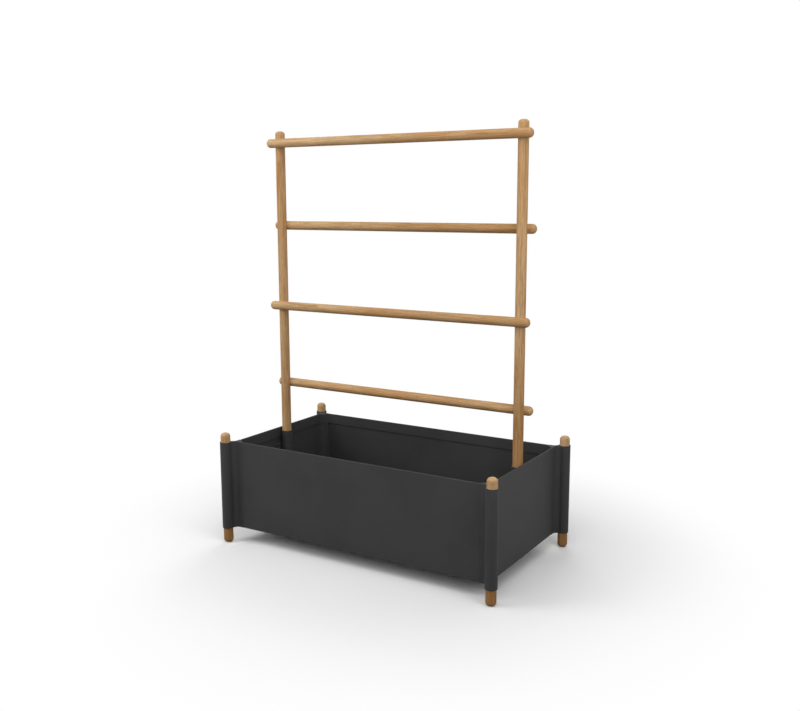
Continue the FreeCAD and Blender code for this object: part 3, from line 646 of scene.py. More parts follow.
# ---------------------------------------------------------------- finishes
PITH = (0.534, 0.021)                  # the tree's middle, from a rod's axis
PITH_LEAN, PITH_WANDER = 0.012, 0.016
RING_WIDTH = 0.0034
END_FADE = (0.0100, 0.0012)            # from a rod's end, where the end grain begins and is full
SHADE_FADE = (1.4, 0.6)                 # times the shade length, where the painted shade at a rod's end begins and is full
SPIN = 2.4                             # about a rod's axis, for each step of the seed
COAT_BUMP = {"Strength": 0.30, "Distance": 0.00006}
STEEL_BUMP = {"Strength": 0.2, "Distance": 0.00001}
TEAK_BUMP = {"Strength": 0.35, "Distance": 0.0004}


def teak_grain():
    """Turned teak: rings round a far pith, streaks, warm patches, pores, pale ends, and a painted shade that darkens
    one end.
    """
    graph, given, end = new_tree("teak_grain", "ShaderNodeTree", {
        "Vector": ORIGIN, "Seed": ORIGIN, "Half Length": 0.5, "Tone": 0.5, "Dark End": 0.0,
        "Dark Length": 0.06, "Pale": "Color", "Dark": "Color", "Warm": "Color", "Pore": "Color", "End": "Color"})
    own, half, dark = given["Vector"], given["Half Length"], given["Dark"]
    seeded = graph.add("ShaderNodeVectorMath", {0: own, 1: given["Seed"]}, operation="ADD")
    along = graph.scaled(seeded, (1.0, 1.0, 0.05))
    slow = graph.scaled(seeded, (1.0, 1.0, 0.22))
    fine = graph.scaled(seeded, (1.0, 1.0, 0.028))
    x, y, z = graph.add("ShaderNodeSeparateXYZ", {0: own}, out=None).outputs
    from_pith = graph.reach(graph.add("ShaderNodeCombineXYZ", {
        "X": graph.plus(graph.plus(x, graph.times(graph.noise(slow, 22.0), PITH_WANDER)), PITH[0]),
        "Y": graph.plus(graph.plus(y, graph.times(z, PITH_LEAN)), PITH[1])}))
    ring = graph.math("FRACT", graph.math("DIVIDE", from_pith, RING_WIDTH))
    late = graph.times(graph.ramp(ring, 0.35, 0.93), graph.ramp(ring, 1.0, 0.94))
    streak = graph.ramp(graph.noise(along, 270.0, 4.0, 0.6), 0.40, 0.64)
    vein = graph.ramp(graph.noise(along, 110.0, 3.0, 0.55, 0.4), 0.56, 0.66)
    patch = graph.ramp(graph.noise(slow, 9.0), 0.38, 0.66)
    pore = graph.ramp(graph.noise(fine, 1500.0, 2.0, 0.6), 0.60, 0.70)
    at_end = graph.ramp(graph.minus(half, graph.math("ABSOLUTE", z)), *END_FADE)
    side_pore = graph.times(pore, graph.minus(1.0, at_end))
    # painted shade: the rod grows darker towards one end, as if less light reached it there
    painted_shade = graph.ramp(graph.math("DIVIDE", graph.plus(z, half), given["Dark Length"]), *SHADE_FADE)
    share = graph.plus(graph.times(streak, 0.36), graph.times(late, 0.22))
    share = graph.plus(share, graph.times(given["Tone"], 0.5), clamp=True)
    wood = graph.mix(share, given["Pale"], dark)
    wood = graph.mix(graph.times(patch, 0.45), wood, given["Warm"])
    wood = graph.mix(graph.times(vein, 0.40), wood, dark)
    end_grain = graph.mix(graph.times(late, 0.35), given["End"], dark)
    wood = graph.mix(graph.times(at_end, 0.75), wood, end_grain)
    # mix in the painted shade towards the rod's darker end
    wood = graph.mix(graph.times(painted_shade, given["Dark End"]), wood, dark)
    wood = graph.mix(graph.times(side_pore, 0.55), wood, given["Pore"])
    rough = graph.plus(graph.times(streak, 0.08), graph.times(pore, 0.10))
    graph.put(end["Color"], wood)
    graph.put(end["Roughness"], graph.plus(rough, 0.5))
    graph.put(end["Height"], graph.minus(graph.times(streak, 0.25), graph.times(side_pore, 0.75)))
    return graph.tree


def coat_grain():
    """Fine-textured powder coat: orange peel, raised grain and slow drift of tone."""
    graph, given, end = new_tree("coat_grain", "ShaderNodeTree", {
        "Vector": ORIGIN, "Base": "Color", "Grain": "Color"})
    peel = graph.noise(given["Vector"], 620.0)
    grain = graph.noise(given["Vector"], 2600.0, 2.0, 0.6)
    drift = graph.noise(given["Vector"], 5.0, 3.0, 0.55)
    share = graph.plus(graph.times(graph.ramp(grain, 0.42, 0.72), 0.45),
                       graph.times(graph.ramp(drift, 0.35, 0.65), 0.40), clamp=True)
    uneven = graph.plus(grain, graph.times(drift, 0.3))
    graph.put(end["Color"], graph.mix(share, given["Base"], given["Grain"]))
    graph.put(end["Roughness"], graph.ramp(uneven, 0.4, 0.95, 0.56, 0.70))
    graph.put(end["Height"], graph.plus(graph.times(peel, 0.6), graph.times(grain, 0.4)))
    return graph.tree


def brushed_steel():
    """Steel with fine turning marks and faint stains."""
    graph, given, end = new_tree("brushed_steel", "ShaderNodeTree", {
        "Vector": ORIGIN, "Base": "Color", "Stain": "Color"})
    marks = graph.noise(given["Vector"], 3800.0, 3.0, 0.6)
    stained = graph.ramp(graph.noise(given["Vector"], 240.0), 0.45, 0.75)
    dulled = graph.mix(0.35, given["Base"], given["Stain"])
    graph.put(end["Color"], graph.mix(stained, given["Base"], dulled))
    graph.put(end["Roughness"], graph.ramp(marks, 0.3, 0.7, 0.24, 0.42))
    graph.put(end["Height"], marks)
    return graph.tree


def new_material(name, constants):
    """A material, its graph, and its surface shader with these constants."""
    material = bpy.data.materials.new(name)
    material.use_nodes = True
    surface = material.node_tree.nodes["Principled BSDF"]
    for label, value in constants.items():
        surface.inputs[label].default_value = value
    return material, Graph(material.node_tree), surface


def make_finish(name, grain, values, bump, constants, turn=None, shift=None):
    """A material: one grain group, read on object coordinates, drives one surface shader."""
    _, graph, surface = new_material(name, constants)
    vector = graph.add("ShaderNodeTexCoord", out="Object")
    if turn:
        vector = graph.add("ShaderNodeMapping", {"Vector": vector, "Rotation": turn, "Location": shift})
    looks = graph.add("ShaderNodeGroup", out=None, node_tree=tree_of(grain))
    for label, value in {"Vector": vector, **values}.items():
        graph.put(looks.inputs[label], value)
    graph.put(surface.inputs["Base Color"], looks.outputs["Color"])
    graph.put(surface.inputs["Roughness"], looks.outputs["Roughness"])
    graph.put(surface.inputs["Normal"], graph.add("ShaderNodeBump", {**bump, "Height": looks.outputs["Height"]}))


class PLANTER_OT_finishes(bpy.types.Operator):
    """Make the powder coat and the two finishes of the steel"""
    bl_idname = "planter.finishes"
    bl_label = "Finishes"

    def execute(self, context):
        colours = context.scene.planter.colours
        make_finish(COAT, coat_grain, {"Base": colours.coat, "Grain": colours.coat_light}, COAT_BUMP,
                    {"Specular IOR Level": 0.18})
        make_finish(STEEL, brushed_steel, {"Base": colours.steel, "Stain": colours.steel_dull}, STEEL_BUMP,
                    {"Metallic": 1.0})
        make_finish(BLACK, brushed_steel, {"Base": colours.black_oxide, "Stain": colours.steel_dull}, STEEL_BUMP,
                    {"Specular IOR Level": 0.2})
        return {"FINISHED"}


# ---------------------------------------------------------------- corner posts
def flare(plan):
    """Crease where the flare meets the sleeve, and the flare's centre and radius."""
    angle = math.radians(45) - plan.box.neck_half_angle
    crease = (-plan.setback + plan.sleeve * math.cos(angle), -plan.setback + plan.sleeve * math.sin(angle))
    radius = ((plan.box.flare_start - crease[0]) ** 2 + crease[1] ** 2) / (-2 * crease[1])
    return crease, (plan.box.flare_start, -radius), radius


def flare_on_sleeve(plan, centre, radius):
    """Where a circle about the flare's centre crosses the sleeve, on the neck's side."""
    gap = Vector((-plan.setback - centre[0], -plan.setback - centre[1]))
    along = (gap.length ** 2 + radius ** 2 - plan.sleeve ** 2) / (2 * gap.length)
    across = math.sqrt(radius ** 2 - along ** 2)
    direction = gap.normalized()
    normal = Vector((direction.y, -direction.x))
    points = [Vector(centre) + direction * along + normal * across * sign for sign in (1, -1)]
    return max(points, key=lambda point: point.x + point.y)


def angle_to(centre, point):
    return math.atan2(point[1] - centre[1], point[0] - centre[0])


def post_outlines(plan):
    """Section of a corner post: its outside, the hollow of the neck, and the bore of the sleeve."""
    box = plan.box
    crease, centre, radius = flare(plan)
    stick = (-plan.setback, -plan.setback)
    half = arc(centre, radius, angle_to(centre, crease), math.pi / 2)
    half += [(box.leg, 0), (box.leg, box.lip), (plan.groove_end, box.lip), (plan.groove_end, plan.groove_inner),
             (plan.arm_end, plan.groove_inner), (plan.arm_end, plan.arm_inner)]
    start = angle_to(stick, (crease[1], crease[0]))
    sleeve = arc(stick, plan.sleeve, start, angle_to(stick, crease) + math.tau)[1:-1]
    outside = half + swapped(half) + sleeve
    radius += box.skin
    inner = flare_on_sleeve(plan, centre, radius)
    web_core = plan.web_line - box.web * math.sqrt(2)
    half = arc(centre, radius, angle_to(centre, inner), math.pi / 2)
    half += [(plan.root_inner, box.skin), (plan.root_inner, plan.arm_inner),
             (web_core - plan.arm_inner, plan.arm_inner)]
    back = arc(stick, plan.sleeve, angle_to(stick, (inner[1], inner[0])), angle_to(stick, inner))[1:-1]
    return [outside, half + swapped(half) + back, circle(stick, plan.sleeve_bore)]


def post_cutters(plan):
    """Room for the rim key, and the holes for the stick screws."""
    box, far = plan.box, plan.box.leg + PROUD
    room = [(far, box.lip), (far, far), (box.lip, far), (box.lip, box.flare_start), (box.skin, box.flare_start),
            (box.skin, box.skin), (box.flare_start, box.skin), (box.flare_start, box.lip)]
    cutters = [to_mesh(prism([room], plan.hem_low, plan.top + PROUD))]
    diagonal = Vector((1, 1, 0)).normalized()
    for height in plan.stick_screw_heights():
        centre = Vector((-plan.setback, -plan.setback, height))
        hole = plan.screws.stick_radius + plan.screws.slip
        cutters.append(pin(hole, plan.sleeve + PROUD, HOLE_SIDES, centre, diagonal))
        start = centre + diagonal * (plan.sleeve + box.web_access_start)
        cutters.append(pin(box.web_access_radius, box.leg, WIDE_SIDES, start, diagonal))
    return cutters


class PLANTER_OT_corner_posts(bpy.types.Operator):
    """Make the four extruded corner posts: round sleeve, flared neck, grooved legs"""
    bl_idname = "planter.corner_posts"
    bl_label = "Corner posts"

    def execute(self, context):
        plan = Plan(context)
        blank = prism(post_outlines(plan), plan.low, plan.top)
        round_over(blank, rims(blank, plan.low, plan.top), plan.box.edge_round, 3)
        pattern = combine(to_mesh(blank), post_cutters(plan))
        for name, sides in CORNERS.items():
            copy = bmesh.new()
            copy.from_mesh(pattern)
            hand_over("corner_post_" + name, "extrusion", to_mesh(copy, corner_matrix(plan, *sides)), COAT)
        bpy.data.meshes.remove(pattern)
        return {"FINISHED"}


# ---------------------------------------------------------------- walls
def wall_outline(plan):
    """Section of a wall, inwards and up: flange, sheet and hollow hem, with round folds."""
    right, up, left, down = 0, math.pi / 2, math.pi, -math.pi / 2
    box, outer = plan.box, plan.box.fold_radius
    inner = outer - box.sheet
    bottom, top = (outer, plan.low + outer), (outer, plan.top - outer)
    lip = (box.hem_thickness - outer, plan.top - outer)
    return [*arc(bottom, outer, down, -math.pi), *arc(top, outer, left, up), *arc(lip, outer, up, right),
            (box.hem_thickness, plan.hem_low), (box.hem_thickness - box.sheet, plan.hem_low),
            *arc(lip, inner, right, up), *arc(top, inner, up, left), *arc(bottom, inner, -math.pi, down),
            (box.flange, plan.low + box.sheet), (box.flange, plan.low)]


def wall_mesh(plan, half_length):
    """A wall along +X, centred, with its outer face at y = 0 and its feet stepped inwards."""
    box = plan.box
    sheet_end = half_length - box.leg - box.seam_gap
    lying = Matrix(((0, 0, 1, 0), (1, 0, 0, 0), (0, 1, 0, 0), (0, 0, 0, 1)))
    panel = to_mesh(prism([wall_outline(plan)], -sheet_end, sheet_end), lying)
    reach, bend = half_length - plan.groove_end - box.seam_gap, sheet_end - 2 * box.sheet
    foot = [(sheet_end, plan.foot_outer), (reach, plan.foot_outer), (reach, plan.foot_inner),
            (sheet_end - box.sheet, plan.foot_inner), (bend, box.sheet), (bend, box.sheet / 2),
            (sheet_end, box.sheet / 2)]
    low, high = plan.low + box.fold_radius, plan.hem_low - box.seam_gap
    feet = [to_mesh(prism([[(side * u, v) for u, v in foot]], low, high)) for side in SIDES.values()]
    return combine(panel, feet, "UNION")


class PLANTER_OT_walls(bpy.types.Operator):
    """Make the four folded walls, with the weld studs of the short ones"""
    bl_idname = "planter.walls"
    bl_label = "Walls"

    def execute(self, context):
        plan = Plan(context)
        sock, root = plan.sock, plan.box.sheet / 2
        for name in ("front", "back", "left", "right"):
            mesh = wall_mesh(plan, plan.wall_y if name in SIDES else plan.wall_x)
            if name in SIDES:
                studs = [pin(sock.stud_radius, sock.stud_length + root, HOLE_SIDES, (along, root, height), (0, 1, 0))
                         for along, height in plan.stud_places()]
                mesh = combine(mesh, studs, "UNION")
            mesh.transform(wall_matrix(plan, name))
            hand_over("wall_" + name, "panel", mesh, COAT)
        return {"FINISHED"}


class PLANTER_OT_rim_keys(bpy.types.Operator):
    """Finish the keys that fill the corners under the rim, whose shape is the frame's own"""
    bl_idname = "planter.rim_keys"
    bl_label = "Rim keys"

    def execute(self, context):
        for name in CORNERS:
            set_finish(frame["nodes"]["rim_key_" + name].data, COAT)
        return {"FINISHED"}


# ---------------------------------------------------------------- teak rods
# Looks of each rod: tone, seed, and how strong the painted shade is at its foot or its right end.
STICK_LOOKS = {"front_left": (0.30, 1, 0.65), "front_right": (0.35, 2, 0.65),
               "back_left": (0.40, 3, 0.65), "back_right": (0.30, 4, 0.65)}
POST_LOOKS = {"left": (0.30, 5, 0.2), "right": (0.35, 6, 0.45)}
RUNG_LOOKS = [(0.0, 7, 0.28), (0.30, 8, 0.35), (0.25, 9, 0.28), (0.30, 10, 0.12)]
STICK_SHADE, POST_SHADE, RUNG_SHADE = 0.06, 0.42, 0.55      # length of the painted shade at the darker end


def rod_mesh(radius, reach, rounding, place, turn=ORIGIN):
    return grow(tree_of(rounded_rod), {
        "Radius": radius, "Length": reach, "End Rounding": rounding, "Place": tuple(place), "Turn": turn})


def hand_over_rod(plan, node, mesh, centre, half, looks, shade_length, along_x=False):
    """A rod in teak of its own: the grain runs along it, the seed sets where its plank was cut, and a painted shade
    darkens one end.
    """
    tone, seed, painted_shade = looks
    turn = Matrix.Rotation(seed * SPIN, 3, "Z")
    if along_x:
        turn = turn @ Matrix.Rotation(math.pi / 2, 3, "Y")
    colours = plan.colours
    values = {"Half Length": half, "Tone": tone, "Seed": (seed * 1.7, seed * -0.9, seed * 3.1),
              "Dark End": painted_shade, "Dark Length": shade_length, "Pale": colours.teak_pale,
              "Dark": colours.teak_dark, "Warm": colours.teak_warm, "Pore": colours.teak_pore,
              "End": colours.teak_end}
    make_finish("teak_" + node, teak_grain, values, TEAK_BUMP, {"Specular IOR Level": 0.08},
                turn.to_euler(), -(turn @ Vector(centre)))
    hand_over(node, "rod", mesh, "teak_" + node)


class PLANTER_OT_corner_sticks(bpy.types.Operator):
    """Make the four round teak corner sticks"""
    bl_idname = "planter.corner_sticks"
    bl_label = "Corner sticks"

    def execute(self, context):
        plan = Plan(context)
        rods, screws = plan.rods, plan.screws
        half, hole = rods.stick_height / 2, screws.stick_radius + screws.slip
        for name, foot, inward in plan.sticks():
            mesh = rod_mesh(rods.stick_radius, rods.stick_height, rods.stick_round, foot)
            start = foot + inward * (plan.sleeve - screws.stick_length)
            pilots = [pin(hole, rods.stick_radius, PILOT_SIDES, start + UP * height, inward)
                      for height in plan.stick_screw_heights()]
            hand_over_rod(plan, "corner_stick_" + name, combine(mesh, pilots), foot + UP * half, half,
                          STICK_LOOKS[name], STICK_SHADE)
        return {"FINISHED"}


def lap_plane(rods, side, rung_y):
    """Where the flat faces of a post and a rung meet, halfway through their overlap."""
    return (side * rods.stick_radius + rung_y - side * rods.rung_radius) / 2


def clipped_circle(centre, radius, plane, keep_side):
    """A circle in (across, depth) coordinates, cut flat at a depth. The kept side is +1 or -1."""
    chord = math.acos((plane - centre[1]) * keep_side / radius)
    middle = math.pi / 2 * keep_side
    return arc(centre, radius, middle - chord, middle + chord)


def lapped(plan, mesh, seats, heads):
    """A rod with its flats cut, and then the countersunk holes of its screws."""
    screws, sink = plan.screws, 0.004
    hole, head = screws.rung_radius + screws.slip, screws.rung_head + screws.slip
    deep = screws.rung_head_height + screws.rung_length + PROUD
    profile = [(0, -deep), (hole, -deep), (hole, -screws.rung_head_height), (head, 0), (head, sink), (0, sink)]
    drills = [to_mesh(lathe(profile, WIDE_SIDES), aimed(place, aim)) for place, aim in heads]
    return combine(combine(mesh, seats), drills)


class PLANTER_OT_trellis(bpy.types.Operator):
    """Make the trellis: two posts and four rungs, lapped into each other and screwed from behind"""
    bl_idname = "planter.trellis"
    bl_label = "Trellis"

    def execute(self, context):
        plan = Plan(context)
        for name, side_x in SIDES.items():
            self.post(plan, name, side_x * plan.post_x)
        for i, (side, rung_y, height) in enumerate(plan.rungs):
            self.rung(plan, i, side, rung_y, height)
        return {"FINISHED"}

    def post(self, plan, name, x):
        rods, depth = plan.rods, 2 * plan.rods.stick_radius
        reach = rods.post_top - rods.post_bottom
        mesh = rod_mesh(rods.stick_radius, reach, rods.post_round, (x, 0, rods.post_bottom))
        along_x = Matrix(((0, 0, 1, x), (0, 1, 0, 0), (1, 0, 0, 0), (0, 0, 0, 1)))
        seats = []
        for side, rung_y, height in plan.rungs:
            outline = clipped_circle((height, rung_y), rods.rung_radius + rods.lap_slip,
                                     lap_plane(rods, side, rung_y), side)
            seats.append(to_mesh(prism([outline], -depth, depth), along_x))
        heads = [place for place in plan.rung_screws() if place[0][0] * x > 0]
        centre = (x, 0, (rods.post_top + rods.post_bottom) / 2)
        hand_over_rod(plan, "trellis_post_" + name, lapped(plan, mesh, seats, heads), centre, reach / 2,
                      POST_LOOKS[name], POST_SHADE)

    def rung(self, plan, i, side, rung_y, height):
        rods, half, depth = plan.rods, plan.rung_half, 2 * plan.rods.rung_radius
        mesh = rod_mesh(rods.rung_radius, 2 * half, rods.rung_round, (-half, rung_y, height), (0, math.pi / 2, 0))
        seats = []
        for side_x in SIDES.values():
            outline = clipped_circle((side_x * plan.post_x, 0), rods.stick_radius + rods.lap_slip,
                                     lap_plane(rods, side, rung_y), -side)
            seats.append(to_mesh(prism([outline], height - depth, height + depth)))
        heads = [place for place in plan.rung_screws() if abs(place[0][2] - height) < rods.rung_radius]
        hand_over_rod(plan, f"trellis_rung_{i + 1}", lapped(plan, mesh, seats, heads), (0, rung_y, height), half,
                      RUNG_LOOKS[i], RUNG_SHADE, along_x=True)


# ---------------------------------------------------------------- sockets
class PLANTER_OT_sockets(bpy.types.Operator):
    """Make the two trellis sockets, their saddles and their clamp screws"""
    bl_idname = "planter.sockets"
    bl_label = "Sockets"

    def execute(self, context):
        plan = Plan(context)
        for name, side_x in SIDES.items():
            hand_over("trellis_socket_" + name, "tube", self.tube(plan, side_x), COAT)
            hand_over("socket_saddle_" + name, "block", self.saddle(plan, side_x), COAT)
            hand_over("clamp_screw_" + name, "grub", self.clamp(plan, side_x), BLACK)
        return {"FINISHED"}

    def tube(self, plan, side_x):
        sock = plan.sock
        floor_top = sock.top - sock.depth
        low = floor_top - sock.floor
        inner, outer, chamfer = sock.bore_radius, sock.outer_radius, sock.mouth_chamfer
        profile = [(sock.drain_radius, low), (outer, low), (outer, sock.top - chamfer),
                   (outer - chamfer, sock.top), (inner + chamfer, sock.top), (inner, sock.top - chamfer),
                   (inner, floor_top), (sock.drain_radius, floor_top)]
        tube = to_mesh(lathe(profile, ROD_SIDES, closed=True), Matrix.Translation((side_x * plan.post_x, 0, 0)))
        start, inward = plan.clamp(side_x)
        hole = sock.clamp_radius + sock.clamp_fit
        return combine(tube, [pin(hole, outer, WIDE_SIDES, start - inward * 2 * PROUD, inward)])

    def saddle(self, plan, side_x):
        sock, face = plan.sock, plan.saddle_face
        back = plan.wall_x - plan.box.sheet
        half, radius = sock.saddle_width / 2, sock.outer_radius + sock.saddle_slip
        reach = math.acos((face - plan.post_x) / radius)
        outline = [(back, half), (back, -half), (face, -half),
                   *arc((plan.post_x, 0), radius, -reach, reach), (face, half)]
        solid = prism([outline], plan.saddle_top - sock.saddle_height, plan.saddle_top)
        corners = []
        for edge in solid.edges:
            run = edge.verts[0].co - edge.verts[1].co
            if abs(run.x) > sock.saddle_thickness - NEAR and abs(run.y) < NEAR and abs(run.z) < NEAR:
                corners.append(edge)
        round_over(solid, corners, sock.saddle_corner, 8)
        hole, through = sock.stud_radius + sock.stud_slip, sock.saddle_thickness + 2 * PROUD
        drills = [pin(hole, through, HOLE_SIDES, (side_x * (face - PROUD), y, z), (side_x, 0, 0))
                  for y, z in plan.stud_places()]
        return combine(to_mesh(solid, Matrix.Diagonal((side_x, 1, 1, 1))), drills)

    def clamp(self, plan, side_x):
        sock = plan.sock
        radius, chamfer, reach = sock.clamp_radius, sock.clamp_chamfer, sock.clamp_length
        grub = lathe([(0, 0), (radius - chamfer, 0), (radius, chamfer), (radius, reach - chamfer),
                      (radius - chamfer, reach), (0, reach)], WIDE_SIDES)
        recess = prism([hexagon(sock.clamp_hex)], reach - sock.clamp_hex_depth, reach + PROUD)
        mesh = combine(to_mesh(grub), [to_mesh(recess)])
        mesh.transform(aimed(*plan.clamp(side_x)))
        return mesh


# ---------------------------------------------------------------- floor
class PLANTER_OT_floor(bpy.types.Operator):
    """Make the drained floor plate, and finish the three rails under it, whose shape is the frame's own"""
    bl_idname = "planter.floor"
    bl_label = "Floor"

    def execute(self, context):
        hand_over("floor_plate", "tray", self.plate(Plan(context)), COAT)
        for rail in RAILS:
            set_finish(frame["nodes"][rail].data, COAT)
        return {"FINISHED"}

    def outline(self, plan, inset):
        """Plan of the floor: a rectangle with its corners cut off."""
        edge, slip = plan.box.sheet + plan.floor.plate_slip, plan.floor.plate_slip
        x, y = plan.wall_x - edge - inset, plan.wall_y - edge - inset
        cut = plan.web_line + slip * math.sqrt(2) - 2 * edge + inset * (math.sqrt(2) - 2)
        return [(-x + cut, -y), (x - cut, -y), (x, -y + cut), (x, y - cut),
                (x - cut, y), (-x + cut, y), (-x, y - cut), (-x, -y + cut)]

    def plate(self, plan):
        floor = plan.floor
        top = plan.rail_low + floor.rail_height + floor.plate
        solid = prism([self.outline(plan, 0)], plan.rail_low, top)
        round_over(solid, rims(solid, top), floor.plate_edge, 6)
        below = prism([self.outline(plan, floor.plate)], plan.rail_low - PROUD, top - floor.plate)
        tray = combine(to_mesh(solid), [to_mesh(below)])
        return grow(tree_of(drained_plate), {
            "Columns": floor.drain_columns, "Rows": floor.drain_rows, "Column Pitch": floor.drain_column_pitch,
            "Row Pitch": floor.drain_row_pitch, "Hole Radius": floor.drain_radius,
            "Height": top - floor.plate / 2, "Depth": 3 * floor.plate}, tray)


# ---------------------------------------------------------------- fixings
CROWN = 0.6                    # of a pan head's height is rounded
ARM = 0.55                     # of a head's radius, for an arm of the cross recess
NARROWING = 0.6                # at the bottom of the cross recess
NUT_FACE, NUT_FALL = 0.88, 0.066       # of a nut's corner radius: its flat end, and the fall of its chamfer


def cross_recess(screws, head_radius):
    """A cross recess that narrows downwards, from the origin plane."""
    half, arm = screws.recess_width / 2, head_radius * ARM
    cross = [(half, half), (half, arm), (-half, arm), (-half, half), (-arm, half), (-arm, -half),
             (-half, -half), (-half, -arm), (half, -arm), (half, -half), (arm, -half), (arm, half)]
    solid = prism([cross], -screws.recess_depth, PROUD)
    for vert in solid.verts:
        if vert.co.z < 0:
            vert.co.xy *= NARROWING
    return to_mesh(solid)


def wood_screw(screws, radius, reach, head_radius, head_height, countersunk=False):
    """A screw along -Z with the top of its head at the origin plane."""
    tip = -head_height - reach
    profile = [(0, tip), (screws.point, tip), (radius, tip + screws.taper), (radius, -head_height)]
    if countersunk:
        profile.append((head_radius, 0))
    else:
        crown = head_height * CROWN
        profile += [(head_radius, -head_height), (head_radius, -crown)]
        profile += arc((head_radius - crown, -crown), crown, 0, math.pi / 2, math.pi / 12)[1:]
    return combine(to_mesh(lathe([*profile, (0, 0)], SCREW_SIDES)), [cross_recess(screws, head_radius)])


def nut(plan):
    """A hexagon nut along +Z, its corners chamfered at both ends."""
    height, corner = plan.sock.nut_height, plan.sock.nut_across_flats / math.sqrt(3)
    bore = circle((0, 0), plan.sock.stud_radius + plan.screws.slip, HOLE_SIDES)
    blank = to_mesh(prism([hexagon(plan.sock.nut_across_flats), bore], 0, height))
    face, fall, widest = corner * NUT_FACE, corner * NUT_FALL, corner + 1e-5
    barrel = lathe([(0, 0), (face, 0), (widest, fall), (widest, height - fall), (face, height), (0, height)],
                   NUT_SIDES)
    return combine(blank, [to_mesh(barrel)], "INTERSECT")


class PLANTER_OT_fixings(bpy.types.Operator):
    """Make the screws and nuts"""
    bl_idname = "planter.fixings"
    bl_label = "Screws and nuts"

    def execute(self, context):
        plan = Plan(context)
        screws, floor = plan.screws, plan.floor
        rung = wood_screw(screws, screws.rung_radius, screws.rung_length, screws.rung_head,
                          screws.rung_head_height, countersunk=True)
        self.set_in("rung_screws", rung, list(plan.rung_screws()))
        stick = wood_screw(screws, screws.stick_radius, screws.stick_length, screws.stick_head,
                           screws.stick_head_height)
        proud = plan.sleeve + screws.stick_head_height + screws.seat_gap
        self.set_in("stick_screws", stick, [(foot + UP * height + inward * proud, inward)
                                            for _, foot, inward in plan.sticks()
                                            for height in plan.stick_screw_heights()])
        rail = wood_screw(screws, screws.rail_radius, screws.rail_length, screws.rail_head,
                          screws.rail_head_height)
        offset, y = (floor.rail_top + floor.rail_brim) / 2, plan.wall_y - screws.rail_inset
        z = plan.low - screws.rail_head_height
        middles = [(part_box(name)[0].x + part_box(name)[1].x) / 2 for name in RAILS]
        self.set_in("rail_screws", rail, [((middle + along * offset, side * y, z), (0, 0, -1))
                                          for middle in middles for along in (-1, 1) for side in (-1, 1)])
        self.set_in("saddle_nuts", nut(plan), [((side_x * plan.saddle_face, y, z), (-side_x, 0, 0))
                                               for side_x in SIDES.values() for y, z in plan.stud_places()])
        return {"FINISHED"}

    def set_in(self, node, fixing, places):
        """Copies of one fixing at (place, direction) pairs, as one piece."""
        points = bpy.data.meshes.new("places")
        points.from_pydata([place for place, _ in places], [], [])
        direction = points.attributes.new("direction", "FLOAT_VECTOR", "POINT")
        for item, (_, aim) in zip(direction.data, places):
            item.vector = aim
        pattern = make_object("pattern", fixing)
        mesh = grow(tree_of(fixings), {"Fixing": pattern, "Material": bpy.data.materials[STEEL]}, points)
        bpy.data.objects.remove(pattern)
        hand_over(node, "set", mesh, STEEL)


# ---------------------------------------------------------------- stage
CAMERA_PLACE = (1.4828, -2.3746, 1.0668)
CAMERA_YAW, CAMERA_PITCH, CAMERA_ROLL = math.radians(31.5637), math.radians(-9.4724), math.radians(-0.1806)
CAMERA_LENS, CAMERA_SENSOR, CAMERA_SIGHT = 42.018, 36.0, 200.0
FLOOR_RADIUS, FLOOR_DEPTH = 30.0, 0.01
FLOOR_FADE = (0.45, 1.15)      # from the middle, where the floor begins to fade and is plain white
WHITE = (1, 1, 1, 1)
LAMPS = {                      # place, what it faces, width and height
    "left": ((-1.7, -1.5, 1.6), (-0.2, 0, 0.4), (1.4, 1.8)),
    "right": ((1.5, -0.55, 1.05), (0.42, 0, 1.45), (0.6, 1.0)),
    "front": ((1.5, -2.8, 1.7), (0, 0, 0.4), (1.8, 1.4)),
    "top": ((0.8, -1.0, 2.8), (0, 0, 0.4), (2.4, 1.8)),
    "back": ((-0.9, 2.4, 1.9), (0, 0, 0.5), (1.8, 1.4)),
}


def white_room(sky):
    """Even sky for the light, plain white for the eye and for reflections."""
    world = bpy.data.worlds.new("white_room")
    world.use_nodes = True
    world.node_tree.nodes.clear()
    graph = Graph(world.node_tree)
    even = graph.add("ShaderNodeBackground", {"Color": WHITE, "Strength": sky})
    white = graph.add("ShaderNodeBackground", {"Color": WHITE, "Strength": 1.0})
    graph.add("ShaderNodeOutputWorld", {"Surface": graph.mix_shader(graph.seen(), even, white)}, out=None)
    return world


def pale_floor(colours):
    """Pale floor near the planter, which fades to plain white further out."""
    material, graph, surface = new_material("studio_floor", {"Roughness": 0.9, "Specular IOR Level": 0.0})
    coordinates = graph.add("ShaderNodeTexCoord", out="Object")
    seen = graph.seen()
    speck = graph.times(graph.noise(coordinates, 90.0, 3.0), 0.05)
    shown = graph.mix(speck, tuple(colours.floor), tuple(colours.floor_speck))
    graph.put(surface.inputs["Base Color"], graph.mix(seen, tuple(colours.floor_bounce), shown))
    far = graph.times(graph.ramp(graph.reach(coordinates), *FLOOR_FADE), seen)
    white = graph.add("ShaderNodeEmission", {"Color": WHITE, "Strength": 1.0})
    both = graph.mix_shader(far, surface.outputs[0], white)
    graph.put(material.node_tree.nodes["Material Output"].inputs["Surface"], both)
    return material


def soft_light(name, place, target, size, power):
    lamp = bpy.data.lights.new(name, "AREA")
    lamp.shape = "RECTANGLE"
    lamp.size, lamp.size_y = size
    lamp.energy = power
    holder = bpy.data.objects.new(name, lamp)
    bpy.context.scene.collection.objects.link(holder)
    holder.location = place
    holder.rotation_euler = (Vector(target) - Vector(place)).to_track_quat("-Z", "Y").to_euler()
    holder.visible_glossy = False


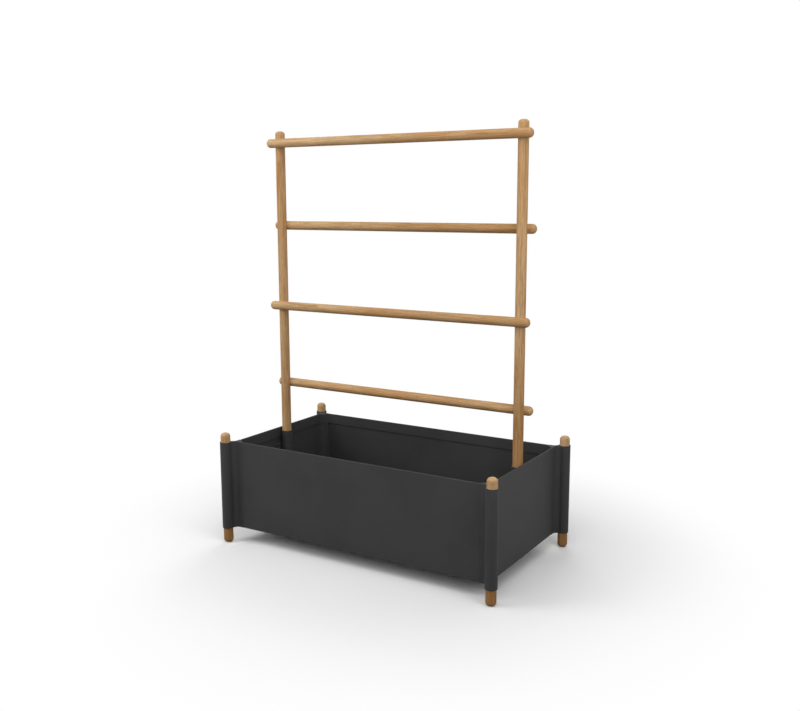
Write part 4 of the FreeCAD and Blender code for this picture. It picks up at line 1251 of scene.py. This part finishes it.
class PLANTER_OT_stage(bpy.types.Operator):
    """Set the pale floor, the soft light and the camera"""
    bl_idname = "planter.stage"
    bl_label = "Stage"

    def execute(self, context):
        scene, settings = context.scene, context.scene.planter
        scene.view_settings.view_transform = "Standard"
        scene.world = white_room(settings.light.sky)
        ground = prism([circle((0, 0), FLOOR_RADIUS)], -FLOOR_DEPTH, 0.0)
        floor = make_object("studio_floor", to_mesh(ground))
        floor.data.materials.append(pale_floor(settings.colours))
        for name, (place, target, size) in LAMPS.items():
            soft_light(name + "_light", place, target, size, getattr(settings.light, name))
        self.camera(scene)
        return {"FINISHED"}

    def camera(self, scene):
        lens = bpy.data.cameras.new("camera")
        lens.lens = CAMERA_LENS
        lens.sensor_width = CAMERA_SENSOR
        lens.sensor_fit = "HORIZONTAL"
        lens.clip_end = CAMERA_SIGHT
        scene.camera = bpy.data.objects.new("camera", lens)
        scene.collection.objects.link(scene.camera)
        aim = Matrix.Rotation(CAMERA_YAW, 4, "Z") @ Matrix.Rotation(math.pi / 2 + CAMERA_PITCH, 4, "X")
        scene.camera.matrix_world = Matrix.Translation(CAMERA_PLACE) @ aim @ Matrix.Rotation(CAMERA_ROLL, 4, "Z")


# ---------------------------------------------------------------- panel and registration
OPERATORS = [PLANTER_OT_finishes, PLANTER_OT_corner_posts, PLANTER_OT_walls, PLANTER_OT_rim_keys,
             PLANTER_OT_corner_sticks, PLANTER_OT_trellis, PLANTER_OT_sockets, PLANTER_OT_floor,
             PLANTER_OT_fixings, PLANTER_OT_stage]


class PLANTER_PT_panel(bpy.types.Panel):
    """Lists the steps that build the planter"""
    bl_idname = "PLANTER_PT_panel"
    bl_label = "Planter with trellis"
    bl_space_type = "VIEW_3D"
    bl_region_type = "UI"
    bl_category = "Planter"

    def draw(self, context):
        for operator in OPERATORS:
            self.layout.operator(operator.bl_idname)


CLASSES = [PlanterBoxSizes, PlanterRodSizes, PlanterSocketSizes, PlanterFloorSizes, PlanterScrewSizes,
           PlanterColours, PlanterLight, PlanterSettings, *OPERATORS, PLANTER_PT_panel]


def register():
    for item in CLASSES:
        bpy.utils.register_class(item)
    bpy.types.Scene.planter = bpy.props.PointerProperty(type=PlanterSettings)


def unregister():
    del bpy.types.Scene.planter
    for item in reversed(CLASSES):
        bpy.utils.unregister_class(item)


def main():
    register()
    for operator in OPERATORS:
        group, name = operator.bl_idname.split(".")
        getattr(getattr(bpy.ops, group), name)()


if __name__ == "__main__":
    main()
